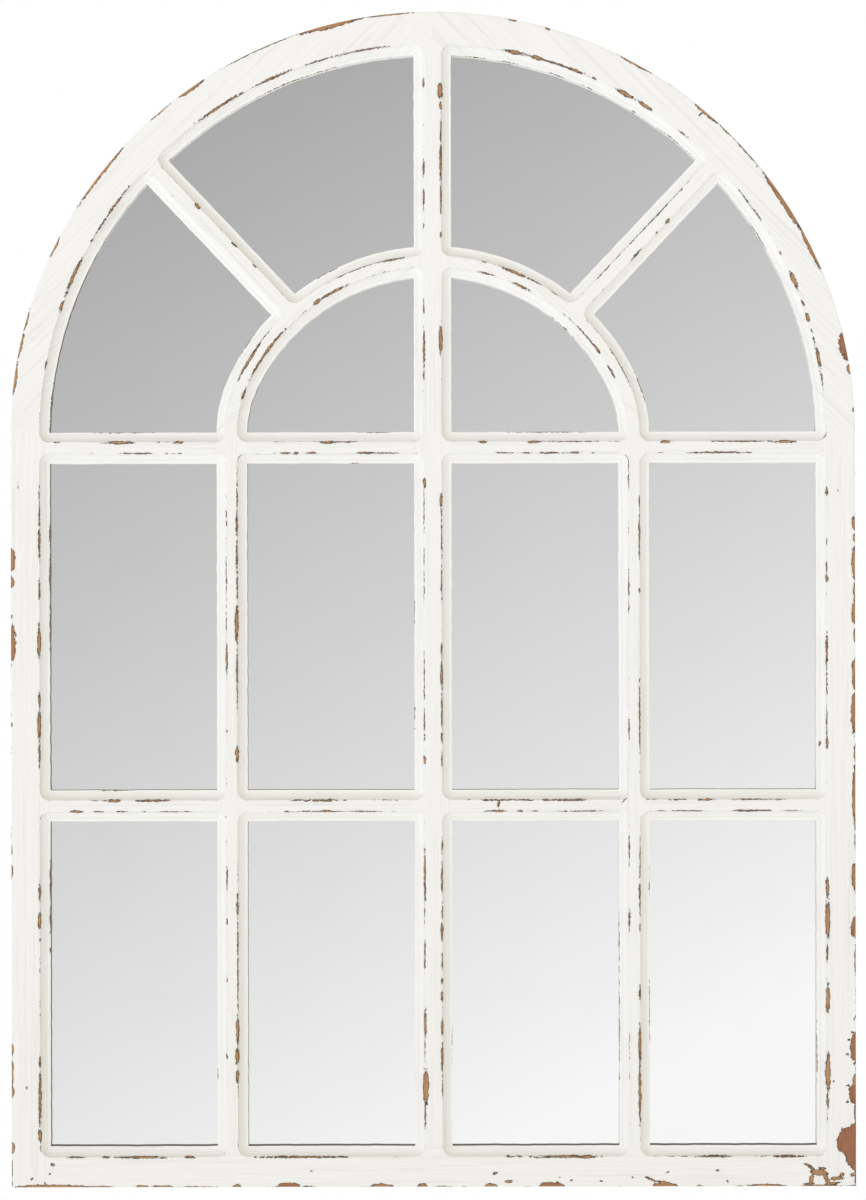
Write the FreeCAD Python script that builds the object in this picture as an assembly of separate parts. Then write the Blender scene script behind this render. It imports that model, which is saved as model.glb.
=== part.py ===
import FreeCAD, Part
import math
import os

# Arched window mirror: a white painted timber window frame glazed with fourteen mirror panes.
#
# Frame of reference, in millimetres: +Z is up, +X is to the viewer's right and the painted face looks
# along -Y. x = 0 is the centre line, y = 0 the back plane of the outer frame and z = 0 the underside of
# the bottom rail, so the origin is the middle of the bottom edge, in the back plane.

Vector = FreeCAD.Vector

# ---- Outer frame -------------------------------------------------------------------------------------
WIDTH = 813.0               # overall width across the two stiles
FRAME_DEPTH = 20.0          # front face to back face of stiles, rail and arch
STILE_WIDTH = 37.0          # outer edge to the lip beside the glass
RAIL_HEIGHT = 38.5          # underside to the lip under the lowest panes
ARCH_FLATTENING = 2.0       # the outer arch rises this much less than half the width
CROWN_WIDTH = 40.5          # width of the arch board at its crown

# ---- Glazing grid ------------------------------------------------------------------------------------
MULLION_WIDTH = 36.0        # centre upright, lip to lip
MUNTIN_WIDTH = 29.5         # side uprights and the inner arch, lip to lip
BAR_HEIGHT = 30.0           # lower cross bar, lip to lip
TRANSOM_HEIGHT = 30.0       # cross bar at the spring line, lip to lip
LOWER_PANE_HEIGHT = 313.5   # daylight height of the lowest row of panes
UPPER_PANE_HEIGHT = 315.0   # daylight height of the row above it

# ---- Fanlight ----------------------------------------------------------------------------------------
INNER_ARCH_FLATTENING = 29.25   # the inner arch rises this much less than half its span
HAUNCH_RADIUS = 95.0            # tight arc of the inner arch beside its spring
FAN_BAR_WIDTH = 30.5
FAN_BAR_ANGLE = 46.6            # degrees above the horizontal
FAN_BAR_DROP = 29.0             # the fan bars' centre lines meet this far below the spring line

# ---- Moulded edge around every opening ---------------------------------------------------------------
COVE_RADIUS = 6.35
COVE_STEP = 3.0             # flat ledge between the cove and the lip

# ---- Glass, its rebates and the back panel -----------------------------------------------------------
GLASS_THICKNESS = 3.0
GLASS_REBATE = 6.0          # width of the rebate behind each lip
GLASS_PLAY = 1.0            # gap between a pane's edge and its rebate
PANEL_THICKNESS = 3.0
PANEL_RECESS = 2.0          # back of the panel below the back of the frame
PANEL_REBATE = 16.0         # width of the rebate that the panel lies in
PANEL_PLAY = 1.0            # gap between the panel's edge and its rebate

# ---- Joinery -----------------------------------------------------------------------------------------
HALVING_FRONT = 8.0         # thickness that an upright keeps in front of a cross bar
TENON_LENGTH = 8.0
TENON_WIDTH = 14.0
TENON_THICKNESS = 4.0
FOOT_TENON_WIDTH = 10.0     # tenon under the foot of the inner arch
FOOT_TENON_THICKNESS = 3.0
FOOT_TENON_COVER = 1.0      # wood between that tenon and the cross bar behind it
TENON_CLEARANCE = 0.15
DOWEL_RADIUS = 3.0
DOWEL_LENGTH = 36.0
DOWEL_PITCH = 13.0          # between the two dowels of a joint
DOWEL_END_PLAY = 1.0
DOWEL_OFFSET = 11.0         # dowel axis in front of the back plane
HOLE_CLEARANCE = 0.1        # radial, on dowels and screws

# ---- Panel screws ------------------------------------------------------------------------------------
SCREW_RADIUS = 1.5
SCREW_LENGTH = 12.0         # under the head
SCREW_HEAD_RADIUS = 3.25
SCREW_HEAD_HEIGHT = 1.8
SCREW_INSET = 10.5          # from the lip to the screws along the frame's ledge
ARCH_SCREW_STEP = 22.5      # degrees between screws along the arch

# ---- Hangers: strap, ring and screws -----------------------------------------------------------------
HANGER_DROP = 27.0          # ring axis below the spring line
STRAP_WIDTH = 12.0
STRAP_LENGTH = 38.0         # ring axis to the strap's lower end
STRAP_THICKNESS = 1.2
STRAP_STANDOFF = 0.1        # barrel clear of the wood
RING_WIRE_RADIUS = 1.2
RING_FIT = 0.08             # radial running clearance of the ring in its barrel
RING_SIDE_PLAY = 1.2        # between the strap's edge and the ring's legs
RING_CORNER_RADIUS = 2.0
RING_LEG = 4.5              # straight leg from the corner to the bow
RING_TILT = 1.0             # degrees that the hanging ring stands off the strap
HANGER_SCREW_RADIUS = 1.75
HANGER_SCREW_LENGTH = 14.0
HANGER_SCREW_HEAD_RADIUS = 3.5
HANGER_SCREW_HEAD_HEIGHT = 2.2
HANGER_SCREW_FIRST = 23.5   # below the ring axis
HANGER_SCREW_PITCH = 9.0

# ---- Wall bumpers ------------------------------------------------------------------------------------
BUMPER_RADIUS = 6.5
BUMPER_FACE_RADIUS = 5.0
BUMPER_HEIGHT = 5.5
BUMPER_UP = 20.0            # bumper centre above the bottom edge

# ---- Screw recess, shared by both kinds of screw -----------------------------------------------------
RECESS_WIDTH = 0.8
RECESS_DEPTH = 0.8
RECESS_SHARE = 0.6          # recess length as a share of the head's diameter

CUT_MARGIN = 1.0            # how far a cutter runs past the face that it opens
PROBE = 0.01                # step off a line to see which side of it is open

# ---- Places worked out from the sizes above ----------------------------------------------------------
FRONT = -FRAME_DEPTH
PANEL_BACK = -PANEL_RECESS
PANEL_FRONT = PANEL_BACK - PANEL_THICKNESS
BAR_BACK = PANEL_FRONT
GLASS_FRONT = BAR_BACK - GLASS_THICKNESS
HALVING = FRONT + HALVING_FRONT
STEP_LEVEL = FRONT + COVE_RADIUS
TENON_MIDDLE = (STEP_LEVEL + GLASS_FRONT) / 2.0

HALF_WIDTH = WIDTH / 2.0
HALF_MULLION = MULLION_WIDTH / 2.0
LIP_X = HALF_WIDTH - STILE_WIDTH
PANE_WIDTH = (LIP_X - MUNTIN_WIDTH - HALF_MULLION) / 2.0
MUNTIN_IN = HALF_MULLION + PANE_WIDTH
MUNTIN_OUT = MUNTIN_IN + MUNTIN_WIDTH
MUNTIN_MIDDLE = (MUNTIN_IN + MUNTIN_OUT) / 2.0

BAR_LOW = RAIL_HEIGHT + LOWER_PANE_HEIGHT
BAR_HIGH = BAR_LOW + BAR_HEIGHT
TRANSOM_LOW = BAR_HIGH + UPPER_PANE_HEIGHT
SPRING = TRANSOM_LOW + TRANSOM_HEIGHT
BAR_MIDDLE = (BAR_LOW + BAR_HIGH) / 2.0
TRANSOM_MIDDLE = (TRANSOM_LOW + SPRING) / 2.0

ARCH_RISE = HALF_WIDTH - ARCH_FLATTENING
LIP_RISE = ARCH_RISE - CROWN_WIDTH
LIP_CROWN = SPRING + LIP_RISE
CROWN = SPRING + ARCH_RISE

INNER_RISE = MUNTIN_IN - INNER_ARCH_FLATTENING
HAUNCH_X = MUNTIN_IN - HAUNCH_RADIUS
INNER_SINK = (HAUNCH_X ** 2 - (INNER_RISE - HAUNCH_RADIUS) ** 2) / (2.0 * (INNER_RISE - HAUNCH_RADIUS))
INNER_RADIUS = INNER_RISE + INNER_SINK
INNER_CENTRE = SPRING - INNER_SINK
INNER_CROWN_MIDDLE = SPRING + INNER_RISE + MUNTIN_WIDTH / 2.0

COVE_WIDTH = COVE_STEP + COVE_RADIUS
STRIP_WIDTH = STILE_WIDTH - PANEL_REBATE
HANGER_X = HALF_WIDTH - STRIP_WIDTH / 2.0
HANGER_Z = SPRING - HANGER_DROP
BARREL_BORE = RING_WIRE_RADIUS + RING_FIT
BARREL_RADIUS = BARREL_BORE + STRAP_THICKNESS
BARREL_Y = BARREL_RADIUS + STRAP_STANDOFF
RING_HALF_WIDTH = STRAP_WIDTH / 2.0 + RING_SIDE_PLAY + RING_WIRE_RADIUS

ACROSS = Vector(1, 0, 0)
INWARD = Vector(0, 1, 0)
UP = Vector(0, 0, 1)
BACK = Vector(0, 1, 0)


# ======================================================================================================
# Flat outlines, all drawn in the plane y = 0
# ======================================================================================================

def at(x, z, y=0.0):
    return Vector(x, y, z)


def rectangle(x_low, x_high, z_low, z_high):
    corners = [at(x_low, z_low), at(x_high, z_low), at(x_high, z_high), at(x_low, z_high), at(x_low, z_low)]
    return Part.Face(Part.makePolygon(corners))


def disc(x, z, radius):
    return Part.Face(Part.Wire(Part.makeCircle(radius, at(x, z), INWARD)))


def segment_circle(half_span, rise):
    """Centre above the chord, and radius, of the arc that rises so far over half_span."""
    radius = (half_span ** 2 + rise ** 2) / (2.0 * rise)
    return rise - radius, radius


LIP_CENTRE_UP, LIP_RADIUS = segment_circle(LIP_X, LIP_RISE)
LIP_CENTRE = SPRING + LIP_CENTRE_UP


def arched_outline(half_span, bottom, crown):
    """A round-headed outline: straight sides to the spring line and one arc over them."""
    arc = Part.Arc(at(half_span, SPRING), at(0, crown), at(-half_span, SPRING)).toShape()
    sides = Part.makePolygon([
        at(-half_span, SPRING), at(-half_span, bottom), at(half_span, bottom), at(half_span, SPRING)])
    return Part.Face(Part.Wire(sides.Edges + [arc]))


def outer_outline():
    return arched_outline(HALF_WIDTH, 0.0, CROWN)


def glazed_outline(grow=0.0):
    """Everything inside the outer frame's lips, pushed outwards by grow."""
    return arched_outline(LIP_X + grow, RAIL_HEIGHT - grow, LIP_CROWN + grow)


def inner_arch_outline(grow):
    """The three-centred inner arch, measured from its inner rim, with legs that run down past the spring."""
    turn = math.atan2(INNER_SINK, HAUNCH_X)
    haunch = HAUNCH_RADIUS + grow
    crown = INNER_RADIUS + grow
    foot = SPRING - 2.0 * TRANSOM_HEIGHT
    joint = at(crown * math.cos(turn), INNER_CENTRE + crown * math.sin(turn))
    middle = at(HAUNCH_X + haunch * math.cos(turn / 2.0), SPRING + haunch * math.sin(turn / 2.0))
    spring = at(HAUNCH_X + haunch, SPRING)
    right_arc = Part.Arc(spring, middle, joint).toShape()
    crown_arc = Part.Arc(joint, at(0, INNER_CENTRE + crown), at(-joint.x, joint.z)).toShape()
    left_arc = Part.Arc(at(-joint.x, joint.z), at(-middle.x, middle.z), at(-spring.x, SPRING)).toShape()
    legs = Part.makePolygon([at(-spring.x, SPRING), at(-spring.x, foot), at(spring.x, foot), spring])
    return Part.Face(Part.Wire([right_arc, crown_arc, left_arc] + legs.Edges))


def fan_side(offset, above):
    """The half plane above or below the right fan bar's centre line, its edge moved by offset."""
    reach = WIDTH
    low, high = (offset, reach) if above else (-reach, -offset)
    strip = rectangle(-reach, reach, low, high)
    strip.rotate(at(0, 0), INWARD, -FAN_BAR_ANGLE)
    strip.translate(at(0, SPRING - FAN_BAR_DROP))
    return strip


# ---- The daylight openings of the right half; grow pushes every side outwards -------------------------

def rectangle_opening(x_low, x_high, z_low, z_high):
    return lambda grow: rectangle(x_low - grow, x_high + grow, z_low - grow, z_high + grow)


def quarter_opening(grow):
    corner = rectangle(HALF_MULLION - grow, WIDTH, SPRING - grow, CROWN)
    return inner_arch_outline(grow).common(corner).Faces[0]


def centre_fan_opening(grow):
    sector = disc(0, LIP_CENTRE, LIP_RADIUS + grow).common(rectangle(HALF_MULLION - grow, WIDTH, SPRING, 2 * CROWN))
    sector = sector.common(fan_side(FAN_BAR_WIDTH / 2.0 - grow, above=True))
    return sector.cut(inner_arch_outline(MUNTIN_WIDTH - grow)).Faces[0]


def side_fan_opening(grow):
    sector = disc(0, LIP_CENTRE, LIP_RADIUS + grow).common(rectangle(0, WIDTH, SPRING - grow, 2 * CROWN))
    sector = sector.common(fan_side(FAN_BAR_WIDTH / 2.0 - grow, above=False))
    return sector.cut(inner_arch_outline(MUNTIN_WIDTH - grow)).Faces[0]


OPENINGS = {
    "lower_inner_pane": rectangle_opening(HALF_MULLION, MUNTIN_IN, RAIL_HEIGHT, BAR_LOW),
    "lower_outer_pane": rectangle_opening(MUNTIN_OUT, LIP_X, RAIL_HEIGHT, BAR_LOW),
    "upper_inner_pane": rectangle_opening(HALF_MULLION, MUNTIN_IN, BAR_HIGH, TRANSOM_LOW),
    "upper_outer_pane": rectangle_opening(MUNTIN_OUT, LIP_X, BAR_HIGH, TRANSOM_LOW),
    "quarter_pane": quarter_opening,
    "centre_fan_pane": centre_fan_opening,
    "side_fan_pane": side_fan_opening,
}


# ======================================================================================================
# Solids from outlines
# ======================================================================================================

def slab(outline, y_low, y_high):
    """The outline as a board between two depths."""
    board = outline.copy()
    board.translate(Vector(0, y_low, 0))
    return board.extrude(Vector(0, y_high - y_low, 0))


def block(x_low, x_high, y_low, y_high, z_low, z_high):
    return Part.makeBox(x_high - x_low, y_high - y_low, z_high - z_low, Vector(x_low, y_low, z_low))


def mirrored(shape):
    return shape.mirror(Vector(0, 0, 0), ACROSS)


def joined(solids):
    return solids[0].fuse(solids[1:]).removeSplitter() if len(solids) > 1 else solids[0]


def cove_section(point, outward):
    """The router's cutting face at a point of its path: a quarter disc, open to the front."""
    foot = point + INWARD * COVE_RADIUS
    arris = point + outward * COVE_RADIUS
    bulge = point + (INWARD + outward) * (COVE_RADIUS * math.sqrt(0.5))
    top = INWARD * (-CUT_MARGIN)
    lines = Part.makePolygon([foot, point + top, arris + top, arris])
    return Part.Face(Part.Wire(lines.Edges + [Part.Arc(arris, bulge, foot).toShape()]))


def cove_cutter(ledge):
    """The cove run around a ledge outline, by straight cuts along its lines and turned cuts round its arcs."""
    plane = ledge.copy()
    plane.translate(Vector(0, FRONT, 0))
    cuts = []
    for edge in plane.OuterWire.Edges:
        start = edge.valueAt(edge.FirstParameter)
        tangent = edge.tangentAt(edge.FirstParameter)
        outward = tangent.cross(INWARD).normalize()
        if plane.isInside(start + outward * PROBE, PROBE / 100.0, False):
            outward = -outward
        section = cove_section(start, outward)
        if isinstance(edge.Curve, Part.Circle):
            sweep = math.degrees(edge.LastParameter - edge.FirstParameter)
            cuts.append(section.revolve(edge.Curve.Center, edge.Curve.Axis, sweep))
        else:
            cuts.append(section.extrude(edge.valueAt(edge.LastParameter) - start))
    return cuts


def opening_cutter(opening):
    """All that is routed away round one opening: daylight, ledge, cove and glass rebate."""
    ledge = opening(0.0).makeOffset2D(COVE_STEP, 0, False, False, False)
    daylight = slab(opening(0.0), FRONT - CUT_MARGIN, BAR_BACK)
    shelf = slab(ledge, FRONT - CUT_MARGIN, STEP_LEVEL)
    rebate = slab(opening(GLASS_REBATE), GLASS_FRONT, BAR_BACK + CUT_MARGIN)
    return joined([shelf, daylight, rebate] + cove_cutter(ledge))


def pane(opening):
    """A mirror pane, larger than its daylight opening by the rebate less the play."""
    return slab(opening(GLASS_REBATE - GLASS_PLAY), GLASS_FRONT, BAR_BACK)


# ======================================================================================================
# Joinery
# ======================================================================================================

def tenon(root, direction, width, y_low, y_high, grow=0.0):
    """A stub tenon that leaves root along direction; grow turns it into the cutter of its mortise."""
    along = Vector(direction.x, 0, direction.z).normalize()
    half = width / 2.0 + grow
    shape = block(-half, half, y_low - grow, y_high + grow, -TENON_LENGTH, TENON_LENGTH + grow)
    shape.rotate(Vector(0, 0, 0), INWARD, math.degrees(math.atan2(along.x, along.z)))
    shape.translate(root)
    return shape


def bar_tenon(root, direction, grow=0.0):
    half = TENON_THICKNESS / 2.0
    return tenon(root, direction, TENON_WIDTH, TENON_MIDDLE - half, TENON_MIDDLE + half, grow)


def foot_tenon(side, grow=0.0):
    """Tenon under one foot of the inner arch, in the front half of the muntin's head."""
    y_high = HALVING - FOOT_TENON_COVER
    root = at(side * MUNTIN_MIDDLE, SPRING)
    return tenon(root, -UP, FOOT_TENON_WIDTH, y_high - FOOT_TENON_THICKNESS, y_high, grow)


def fan_direction(side):
    angle = math.radians(FAN_BAR_ANGLE)
    return Vector(side * math.cos(angle), 0, math.sin(angle))


def fan_root(side, centre, radius):
    """Where a fan bar's centre line meets the circle of that radius about (0, centre)."""
    along = fan_direction(side)
    start = SPRING - FAN_BAR_DROP - centre
    reach = -start * along.z + math.sqrt(radius ** 2 - (start * along.x) ** 2)
    return at(reach * along.x, centre + start + reach * along.z)


def fan_head(side, grow=0.0):
    return bar_tenon(fan_root(side, LIP_CENTRE, LIP_RADIUS), fan_direction(side), grow)


def fan_foot(side, grow=0.0):
    root = fan_root(side, INNER_CENTRE, INNER_RADIUS + MUNTIN_WIDTH)
    return bar_tenon(root, -fan_direction(side), grow)


def upright_tenons(x, grow=0.0):
    return [bar_tenon(at(x, RAIL_HEIGHT), -UP, grow)]


def cross_tenon(side, z, grow=0.0):
    return bar_tenon(at(side * LIP_X, z), ACROSS * side, grow)


def crown_tenon(side, grow=0.0):
    """Tenon of an inner arch quarter in the side of the mullion."""
    return bar_tenon(at(side * HALF_MULLION, INNER_CROWN_MIDDLE), ACROSS * -side, grow)


def dowel_places():
    """Middle and direction of every dowel: two at each joint of the outer frame."""
    y = -DOWEL_OFFSET
    stile_middle = (LIP_X + COVE_WIDTH + HALF_WIDTH) / 2.0
    rail_middle = (RAIL_HEIGHT - COVE_WIDTH) / 2.0
    crown_middle = (LIP_CROWN + COVE_WIDTH + CROWN) / 2.0
    places = []
    for shift in (-DOWEL_PITCH / 2.0, DOWEL_PITCH / 2.0):
        places.append((at(0, crown_middle + shift, y), ACROSS))
        for side in (-1, 1):
            places.append((at(side * (stile_middle + shift), SPRING, y), UP))
            places.append((at(side * LIP_X, rail_middle + shift, y), ACROSS))
    return places


def dowels(grow=0.0, end_play=0.0):
    length = DOWEL_LENGTH + 2.0 * end_play
    rods = []
    for middle, direction in dowel_places():
        start = middle - direction * (length / 2.0)
        rods.append(Part.makeCylinder(DOWEL_RADIUS + grow, length, start, direction))
    return rods


# ======================================================================================================
# Screws
# ======================================================================================================

def screw(place, radius, length, head_radius, head_height):
    """A pan-head screw driven along -Y, its head seated on place."""
    shank = Part.makeCylinder(radius, length, place, -BACK)
    head = Part.makeCylinder(head_radius, head_height, place, BACK)
    rim = [edge for edge in head.Edges if abs(edge.BoundBox.Center.y - place.y - head_height) < 1e-6]
    head = head.makeFillet(head_height * 0.55, [edge for edge in rim if edge.Length > head_radius])
    arm = head_radius * RECESS_SHARE
    half = RECESS_WIDTH / 2.0
    top = place.y + head_height
    slot_across = block(place.x - arm, place.x + arm, top - RECESS_DEPTH, top, place.z - half, place.z + half)
    slot_up = block(place.x - half, place.x + half, top - RECESS_DEPTH, top, place.z - arm, place.z + arm)
    return head.fuse(shank).cut([slot_across, slot_up])


def pilot(place, radius, length):
    """Clearance hole for a screw: through what lies under its head and into the wood beyond."""
    return Part.makeCylinder(radius + HOLE_CLEARANCE, length + CUT_MARGIN, place, -BACK)


def panel_screw_places():
    """Seats of the panel's screws: along the frame's ledge and on the uprights."""
    ledge_x = LIP_X + SCREW_INSET
    heights = [(RAIL_HEIGHT + BAR_LOW) / 2.0, BAR_MIDDLE, (BAR_HIGH + TRANSOM_LOW) / 2.0, TRANSOM_MIDDLE]
    places = [(0.0, RAIL_HEIGHT - SCREW_INSET), (0.0, (SPRING + INNER_RISE + LIP_CROWN) / 2.0)]
    places += [(x, z) for x in (0.0, ledge_x) for z in heights]
    places += [(MUNTIN_MIDDLE, z) for z in (RAIL_HEIGHT - SCREW_INSET, heights[0], heights[2])]
    reach = LIP_RADIUS + SCREW_INSET
    for step in range(int(90.0 / ARCH_SCREW_STEP)):
        angle = math.radians(ARCH_SCREW_STEP * (step + 0.5))
        places.append((reach * math.cos(angle), LIP_CENTRE + reach * math.sin(angle)))
    seats = [at(x, z, PANEL_BACK) for x, z in places]
    return seats + [at(-seat.x, seat.z, seat.y) for seat in seats if seat.x > 1.0]


def panel_pilots():
    return [pilot(seat, SCREW_RADIUS, SCREW_LENGTH) for seat in panel_screw_places()]


def hanger_screw_places():
    drops = (HANGER_SCREW_FIRST, HANGER_SCREW_FIRST + HANGER_SCREW_PITCH)
    return [at(side * HANGER_X, HANGER_Z - drop, STRAP_THICKNESS) for side in (-1, 1) for drop in drops]


def hanger_pilots():
    return [pilot(seat, HANGER_SCREW_RADIUS, HANGER_SCREW_LENGTH) for seat in hanger_screw_places()]


# ======================================================================================================
# Cutters shared by the wooden parts
# ======================================================================================================

RIGHT_CUTTERS = [opening_cutter(opening) for opening in OPENINGS.values()]
ROUTED = RIGHT_CUTTERS + [mirrored(cutter) for cutter in RIGHT_CUTTERS]
PANEL_BED = slab(glazed_outline(PANEL_REBATE), BAR_BACK, CUT_MARGIN)
DOWEL_HOLES = dowels(HOLE_CLEARANCE, DOWEL_END_PLAY)
SCREW_HOLES = panel_pilots() + hanger_pilots()


def routed(board, cutters):
    """The board less every cutter that reaches it."""
    near = [cutter for cutter in cutters if cutter.BoundBox.intersect(board.BoundBox)]
    return board.cut(near)


def moulded(board, mortises=()):
    return routed(board, ROUTED + SCREW_HOLES + list(mortises))


# ======================================================================================================
# Wooden parts
# ======================================================================================================

def right_stile():
    board = block(LIP_X, HALF_WIDTH, FRONT, 0.0, 0.0, SPRING)
    mortises = [cross_tenon(1, BAR_MIDDLE, TENON_CLEARANCE), cross_tenon(1, TRANSOM_MIDDLE, TENON_CLEARANCE)]
    return moulded(board, mortises + DOWEL_HOLES + [PANEL_BED])


def bottom_rail():
    board = block(-LIP_X, LIP_X, FRONT, 0.0, 0.0, RAIL_HEIGHT)
    mortises = []
    for x in (-MUNTIN_MIDDLE, 0.0, MUNTIN_MIDDLE):
        mortises += upright_tenons(x, TENON_CLEARANCE)
    return moulded(board, mortises + DOWEL_HOLES + [PANEL_BED])


def right_arch():
    """A quarter of the round head, from the spring line to the crown."""
    ring = outer_outline().cut(glazed_outline())
    quarter = ring.common(rectangle(0, WIDTH, SPRING, 2 * CROWN)).Faces[0]
    mortises = [fan_head(1, TENON_CLEARANCE), mullion_head(TENON_CLEARANCE)]
    return moulded(slab(quarter, FRONT, 0.0), mortises + DOWEL_HOLES + [PANEL_BED])


def mullion_head(grow=0.0):
    return bar_tenon(at(0, LIP_CROWN), UP, grow)


def centre_mullion():
    outline = glazed_outline().common(rectangle(-HALF_MULLION, HALF_MULLION, 0, 2 * CROWN)).Faces[0]
    board = joined([slab(outline, FRONT, BAR_BACK), mullion_head()] + upright_tenons(0.0))
    mortises = [crown_tenon(side, TENON_CLEARANCE) for side in (-1, 1)]
    return moulded(board, mortises + cross_notches(-HALF_MULLION, HALF_MULLION))


def cross_notches(x_low, x_high):
    """What an upright loses behind, where the two cross bars pass."""
    return [block(x_low, x_high, HALVING, BAR_BACK, low, high)
            for low, high in ((BAR_LOW, BAR_HIGH), (TRANSOM_LOW, SPRING))]


def right_muntin():
    board = joined([block(MUNTIN_IN, MUNTIN_OUT, FRONT, BAR_BACK, RAIL_HEIGHT, SPRING)]
                   + upright_tenons(MUNTIN_MIDDLE))
    return moulded(board, cross_notches(MUNTIN_IN, MUNTIN_OUT) + [foot_tenon(1, TENON_CLEARANCE)])


def cross_bar(z_low, z_high):
    """A horizontal bar that runs behind the three uprights and is tenoned into the stiles."""
    middle = (z_low + z_high) / 2.0
    board = joined([block(-LIP_X, LIP_X, FRONT, BAR_BACK, z_low, z_high),
                    cross_tenon(-1, middle), cross_tenon(1, middle)])
    notches = [block(x_low, x_high, FRONT, HALVING, z_low, z_high)
               for x_low, x_high in ((-MUNTIN_OUT, -MUNTIN_IN), (-HALF_MULLION, HALF_MULLION),
                                     (MUNTIN_IN, MUNTIN_OUT))]
    return moulded(board, notches)


def inner_arch_right():
    band = inner_arch_outline(MUNTIN_WIDTH).cut(inner_arch_outline(0.0))
    quarter = band.common(rectangle(HALF_MULLION, WIDTH, SPRING, 2 * CROWN)).Faces[0]
    board = joined([slab(quarter, FRONT, BAR_BACK), crown_tenon(1), foot_tenon(1)])
    return moulded(board, [fan_foot(1, TENON_CLEARANCE)])


def right_fan_bar():
    half = FAN_BAR_WIDTH / 2.0
    strip = fan_side(-half, above=True).common(fan_side(-half, above=False))
    strip = strip.common(rectangle(0, WIDTH, SPRING, 2 * CROWN)).common(disc(0, LIP_CENTRE, LIP_RADIUS))
    outline = strip.cut(inner_arch_outline(MUNTIN_WIDTH)).Faces[0]
    return moulded(joined([slab(outline, FRONT, BAR_BACK), fan_head(1), fan_foot(1)]))


# ======================================================================================================
# Panel, hangers and bumpers
# ======================================================================================================

def backing_panel():
    sheet = slab(glazed_outline(PANEL_REBATE - PANEL_PLAY), PANEL_FRONT, PANEL_BACK)
    return sheet.cut(panel_pilots())


def backing_screws():
    return Part.Compound([screw(seat, SCREW_RADIUS, SCREW_LENGTH, SCREW_HEAD_RADIUS, SCREW_HEAD_HEIGHT)
                          for seat in panel_screw_places()])


def hanger_strap(side):
    """Steel strap screwed to the stile, curled round the ring's straight leg."""
    x = side * HANGER_X
    half = STRAP_WIDTH / 2.0
    tail = HANGER_Z - STRAP_LENGTH
    barrel = Part.makeCylinder(BARREL_RADIUS, STRAP_WIDTH, Vector(x - half, BARREL_Y, HANGER_Z), ACROSS)
    plate = block(x - half, x + half, 0.0, STRAP_THICKNESS, tail + half, HANGER_Z)
    end = Part.makeCylinder(half, STRAP_THICKNESS, Vector(x, 0.0, tail + half), BACK)
    bore = Part.makeCylinder(BARREL_BORE, STRAP_WIDTH, Vector(x - half, BARREL_Y, HANGER_Z), ACROSS)
    return joined([plate, end, barrel]).cut([bore] + hanger_pilots())


def hanger_ring(side):
    """A D-shaped wire ring, hanging from the strap's barrel."""
    half = RING_HALF_WIDTH
    corner = RING_CORNER_RADIUS
    bow_top = -corner - RING_LEG
    slant = corner * (1.0 - math.sqrt(0.5))
    left_corner = Part.Arc(at(-half, -corner), at(-half + slant, -slant), at(-half + corner, 0)).toShape()
    top = Part.makeLine(at(-half + corner, 0), at(half - corner, 0))
    right_corner = Part.Arc(at(half - corner, 0), at(half - slant, -slant), at(half, -corner)).toShape()
    right_leg = Part.makeLine(at(half, -corner), at(half, bow_top))
    bow = Part.Arc(at(half, bow_top), at(0, bow_top - half), at(-half, bow_top)).toShape()
    left_leg = Part.makeLine(at(-half, bow_top), at(-half, -corner))
    path = Part.Wire([top, right_corner, right_leg, bow, left_leg, left_corner])
    section = Part.Face(Part.Wire(Part.makeCircle(RING_WIRE_RADIUS, at(-half + corner, 0), ACROSS)))
    ring = path.makePipe(section)
    ring = ring if ring.ShapeType == "Solid" else ring.Solids[0]
    ring.rotate(Vector(0, 0, 0), ACROSS, RING_TILT)
    ring.translate(Vector(side * HANGER_X, BARREL_Y, HANGER_Z))
    return ring


def hanger_screws():
    return Part.Compound([screw(seat, HANGER_SCREW_RADIUS, HANGER_SCREW_LENGTH, HANGER_SCREW_HEAD_RADIUS,
                                HANGER_SCREW_HEAD_HEIGHT) for seat in hanger_screw_places()])


def wall_bumpers():
    return Part.Compound([Part.makeCone(BUMPER_RADIUS, BUMPER_FACE_RADIUS, BUMPER_HEIGHT,
                                        at(side * HANGER_X, BUMPER_UP), BACK) for side in (-1, 1)])


# ======================================================================================================
# The set of parts
# ======================================================================================================

def build():
    parts = {
        "right_stile": right_stile(),
        "bottom_rail": bottom_rail(),
        "right_arch": right_arch(),
        "centre_mullion": centre_mullion(),
        "right_muntin": right_muntin(),
        "lower_bar": cross_bar(BAR_LOW, BAR_HIGH),
        "transom_bar": cross_bar(TRANSOM_LOW, SPRING),
        "inner_arch_right": inner_arch_right(),
        "right_fan_bar": right_fan_bar(),
        "backing_panel": backing_panel(),
        "backing_screws": backing_screws(),
        "frame_dowels": Part.Compound(dowels()),
        "left_hanger_strap": hanger_strap(-1),
        "right_hanger_strap": hanger_strap(1),
        "left_hanger_ring": hanger_ring(-1),
        "right_hanger_ring": hanger_ring(1),
        "hanger_screws": hanger_screws(),
        "wall_bumpers": wall_bumpers(),
    }
    for name in ("right_stile", "right_arch", "right_muntin", "inner_arch_right", "right_fan_bar"):
        parts[name.replace("right", "left")] = mirrored(parts[name])
    for name, opening in OPENINGS.items():
        parts["right_" + name] = pane(opening)
        parts["left_" + name] = mirrored(parts["right_" + name])
    return parts


def main():
    os.makedirs("parts", exist_ok=True)
    for name, shape in build().items():
        solids = shape.Solids
        print(f"{name}: {len(solids)} solid(s), {shape.Volume / 1000.0:.1f} cm3, valid {shape.isValid()}")
        kept = solids[0] if len(solids) == 1 else Part.Compound(solids)
        kept.exportStep(f"parts/{name}.step")


main()
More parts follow.
